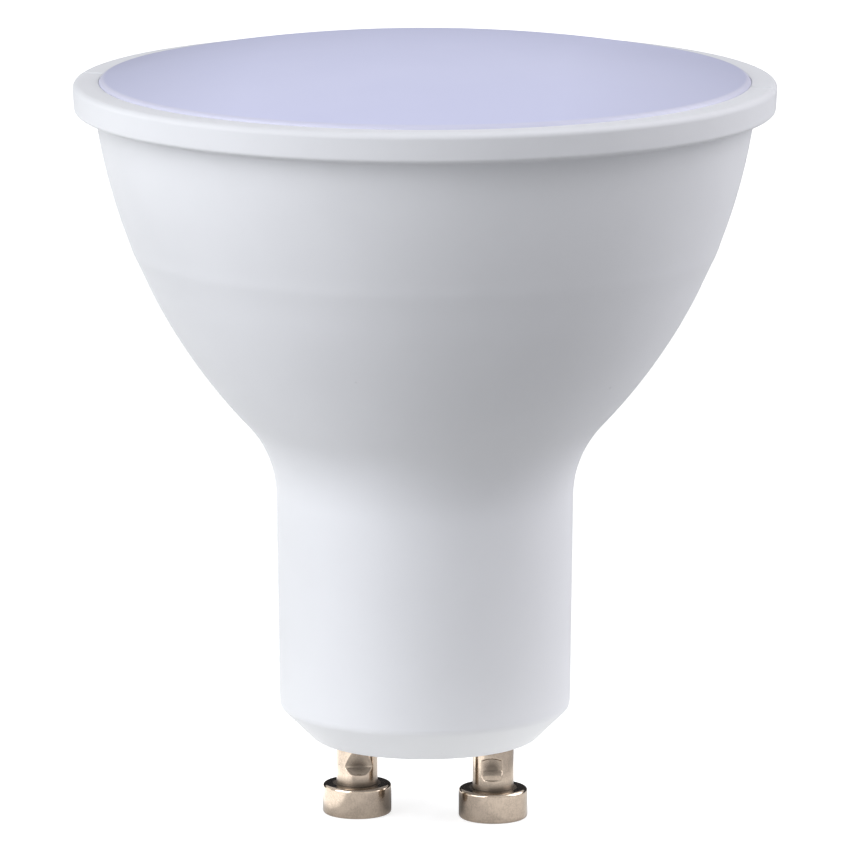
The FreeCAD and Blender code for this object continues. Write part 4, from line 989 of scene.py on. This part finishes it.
class BULB_OT_housing(BulbOperator, bpy.types.Operator):
    """Make the moulded housing: base, neck, bell and rim."""

    bl_idname = "bulb.housing"
    bl_label = "Housing"

    def execute(self, context):
        sizes = context.scene.bulb_sizes
        finish = housing_finish(context.scene.bulb_colours)
        piece = turned("housing_shell", housing_section(sizes), sizes.steps_round, finish)
        worn(piece, finish)
        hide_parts("housing")
        return {"FINISHED"}


class BULB_OT_parting_line(BulbOperator, bpy.types.Operator):
    """Make the fine moulding line down both sides of the housing."""

    bl_idname = "bulb.parting_line"
    bl_label = "Parting line"

    def execute(self, context):
        sizes = context.scene.bulb_sizes
        finish = housing_finish(context.scene.bulb_colours)
        section = [point for point in outside_line(sizes)
                   if point.x > sizes.neck_foot - sizes.bevel_width
                   and point.y > sizes.base_under]
        # The last two points are the wall of the recess, which has no bead.
        section = section[:-2]
        lines = [[(side * (point.x - sizes.bead_radius / 2), 0.0, point.y)
                  for point in section] for side in (-1, 1)]
        piece = baked(line_object("parting_path", lines), "housing_parting_line",
                      bead_tree(), {
            "Bead Radius": sizes.bead_radius,
            "Facets": 8,
            "Finish": finish,
        })
        face_outwards(piece.data)
        worn(piece, finish)
        return {"FINISHED"}


class BULB_OT_cover(BulbOperator, bpy.types.Operator):
    """Make the domed milky cover."""

    bl_idname = "bulb.cover"
    bl_label = "Cover"

    def execute(self, context):
        sizes = context.scene.bulb_sizes
        finish = cover_finish(context.scene.bulb_colours)
        piece = turned("domed_cover", cover_section(sizes), sizes.steps_round, finish)
        worn(piece, finish)
        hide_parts("diffuser")
        return {"FINISHED"}


def in_metres(points):
    """Turn (height, depth) points in millimetres to metres."""
    return [(height * MM, depth * MM) for height, depth in points]


# Marks of the crimping tool, per pin: side, turn in degrees, width and arch in
# millimetres, then (height, depth) points of the section from below.
PIN_MARKS = {
    "left": (-1, 14.0, 2.1, 0.0,
             [(3.05, 0.0), (3.12, 0.12), (3.58, 0.36), (3.70, 0.38), (4.95, 0.0)]),
    "right": (1, 5.0, 1.5, 0.2,
              [(2.95, 0.0), (3.0, 0.12), (3.33, 0.2), (3.75, 0.38), (3.95, 0.36),
               (4.60, 0.22), (4.66, 0.0)]),
}


class BULB_OT_pins(BulbOperator, bpy.types.Operator):
    """Make the two turned contact pins with their crimp marks."""

    bl_idname = "bulb.pins"
    bl_label = "Contact pins"

    def execute(self, context):
        sizes = context.scene.bulb_sizes
        nickel = context.scene.bulb_colours.nickel
        for name, (side, turn, width, arch, mark) in PIN_MARKS.items():
            place = side * sizes.pin_place
            finish = plated_finish(f"pin_nickel_{name}", nickel, 0.1, (place, 0.0, 0.0), sizes)
            piece = turned(f"turned_pin_{name}", pin_section(sizes), sizes.steps_round // 2,
                           finish)
            press_crimp(piece.data, sizes, math.radians(turn), width * MM, arch * MM,
                        in_metres(mark))
            for vertex in piece.data.vertices:
                vertex.co.x += place
            worn(piece, finish)
            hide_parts(f"contact_pin_{name}")
        return {"FINISHED"}


INNER_FINISHES = {
    "drawn_aluminium": lambda: metal_finish("drawn_aluminium", (0.80, 0.81, 0.82), 0.35),
    "board_aluminium": lambda: board_finish("board_aluminium", (0.85, 0.86, 0.84),
                                            (0.78, 0.78, 0.76)),
    "screw_steel": lambda: metal_finish("screw_steel", (0.62, 0.62, 0.63), 0.3),
    "board_laminate": lambda: board_finish("board_laminate", (0.04, 0.20, 0.08),
                                           (0.06, 0.26, 0.11)),
    "can_sleeve": lambda: plastic_finish("can_sleeve", (0.02, 0.025, 0.05), 0.3),
    "resistor_body": lambda: plastic_finish("resistor_body", (0.12, 0.30, 0.42), 0.5),
    "chip_case": lambda: plastic_finish("chip_case", (0.02, 0.02, 0.022), 0.6),
    "live_insulation": lambda: plastic_finish("live_insulation", (0.42, 0.02, 0.015), 0.45),
    "neutral_insulation": lambda: plastic_finish("neutral_insulation",
                                                 (0.02, 0.02, 0.022), 0.45),
    "ferrite": lambda: plastic_finish("ferrite", (0.05, 0.05, 0.052), 0.7),
    "copper": lambda: metal_finish("copper", (0.75, 0.32, 0.14), 0.3, lines=5000.0),
    "chip_phosphor": lambda: plastic_finish("chip_phosphor", (0.90, 0.66, 0.12), 0.35),
}


class BULB_OT_inner_works(BulbOperator, bpy.types.Operator):
    """Give the parts inside the housing their finishes."""

    bl_idname = "bulb.inner_works"
    bl_label = "Inner works"

    def execute(self, context):
        for row in frame["record"]["subparts"]:
            maker = INNER_FINISHES.get(row["material_slot"])
            if maker is None:
                continue
            finish = finish_named(row["material_slot"], maker)
            mesh = frame["nodes"][row["node"]].data
            mesh.materials.clear()
            mesh.materials.append(finish)
        return {"FINISHED"}


class BULB_PT_sidebar(bpy.types.Panel):
    """Sidebar of the bulb: its makers, sizes and colours."""

    bl_idname = "BULB_PT_sidebar"
    bl_label = "Spotlight bulb"
    bl_space_type = "VIEW_3D"
    bl_region_type = "UI"
    bl_category = "Spotlight bulb"

    def draw(self, context):
        layout = self.layout
        for operator in MAKERS:
            layout.operator(operator.bl_idname, text=operator.bl_label)
        for group in (context.scene.bulb_colours, context.scene.bulb_sizes):
            for name in group.__annotations__:
                layout.prop(group, name)


MAKERS = (
    BULB_OT_stage,
    BULB_OT_housing,
    BULB_OT_parting_line,
    BULB_OT_cover,
    BULB_OT_pins,
    BULB_OT_inner_works,
)
CLASSES = (BulbSizes, BulbColours, *MAKERS, BULB_PT_sidebar)


def register():
    """Register the classes and hang the settings on the scene."""
    for item in CLASSES:
        bpy.utils.register_class(item)
    bpy.types.Scene.bulb_sizes = PointerProperty(type=BulbSizes)
    bpy.types.Scene.bulb_colours = PointerProperty(type=BulbColours)


def unregister():
    """Take the settings and the classes away again."""
    del bpy.types.Scene.bulb_colours
    del bpy.types.Scene.bulb_sizes
    for item in reversed(CLASSES):
        bpy.utils.unregister_class(item)


def main():
    """Make every piece in order."""
    register()
    bpy.ops.bulb.stage()
    bpy.ops.bulb.housing()
    bpy.ops.bulb.parting_line()
    bpy.ops.bulb.cover()
    bpy.ops.bulb.pins()
    bpy.ops.bulb.inner_works()


if __name__ == "__main__":
    main()
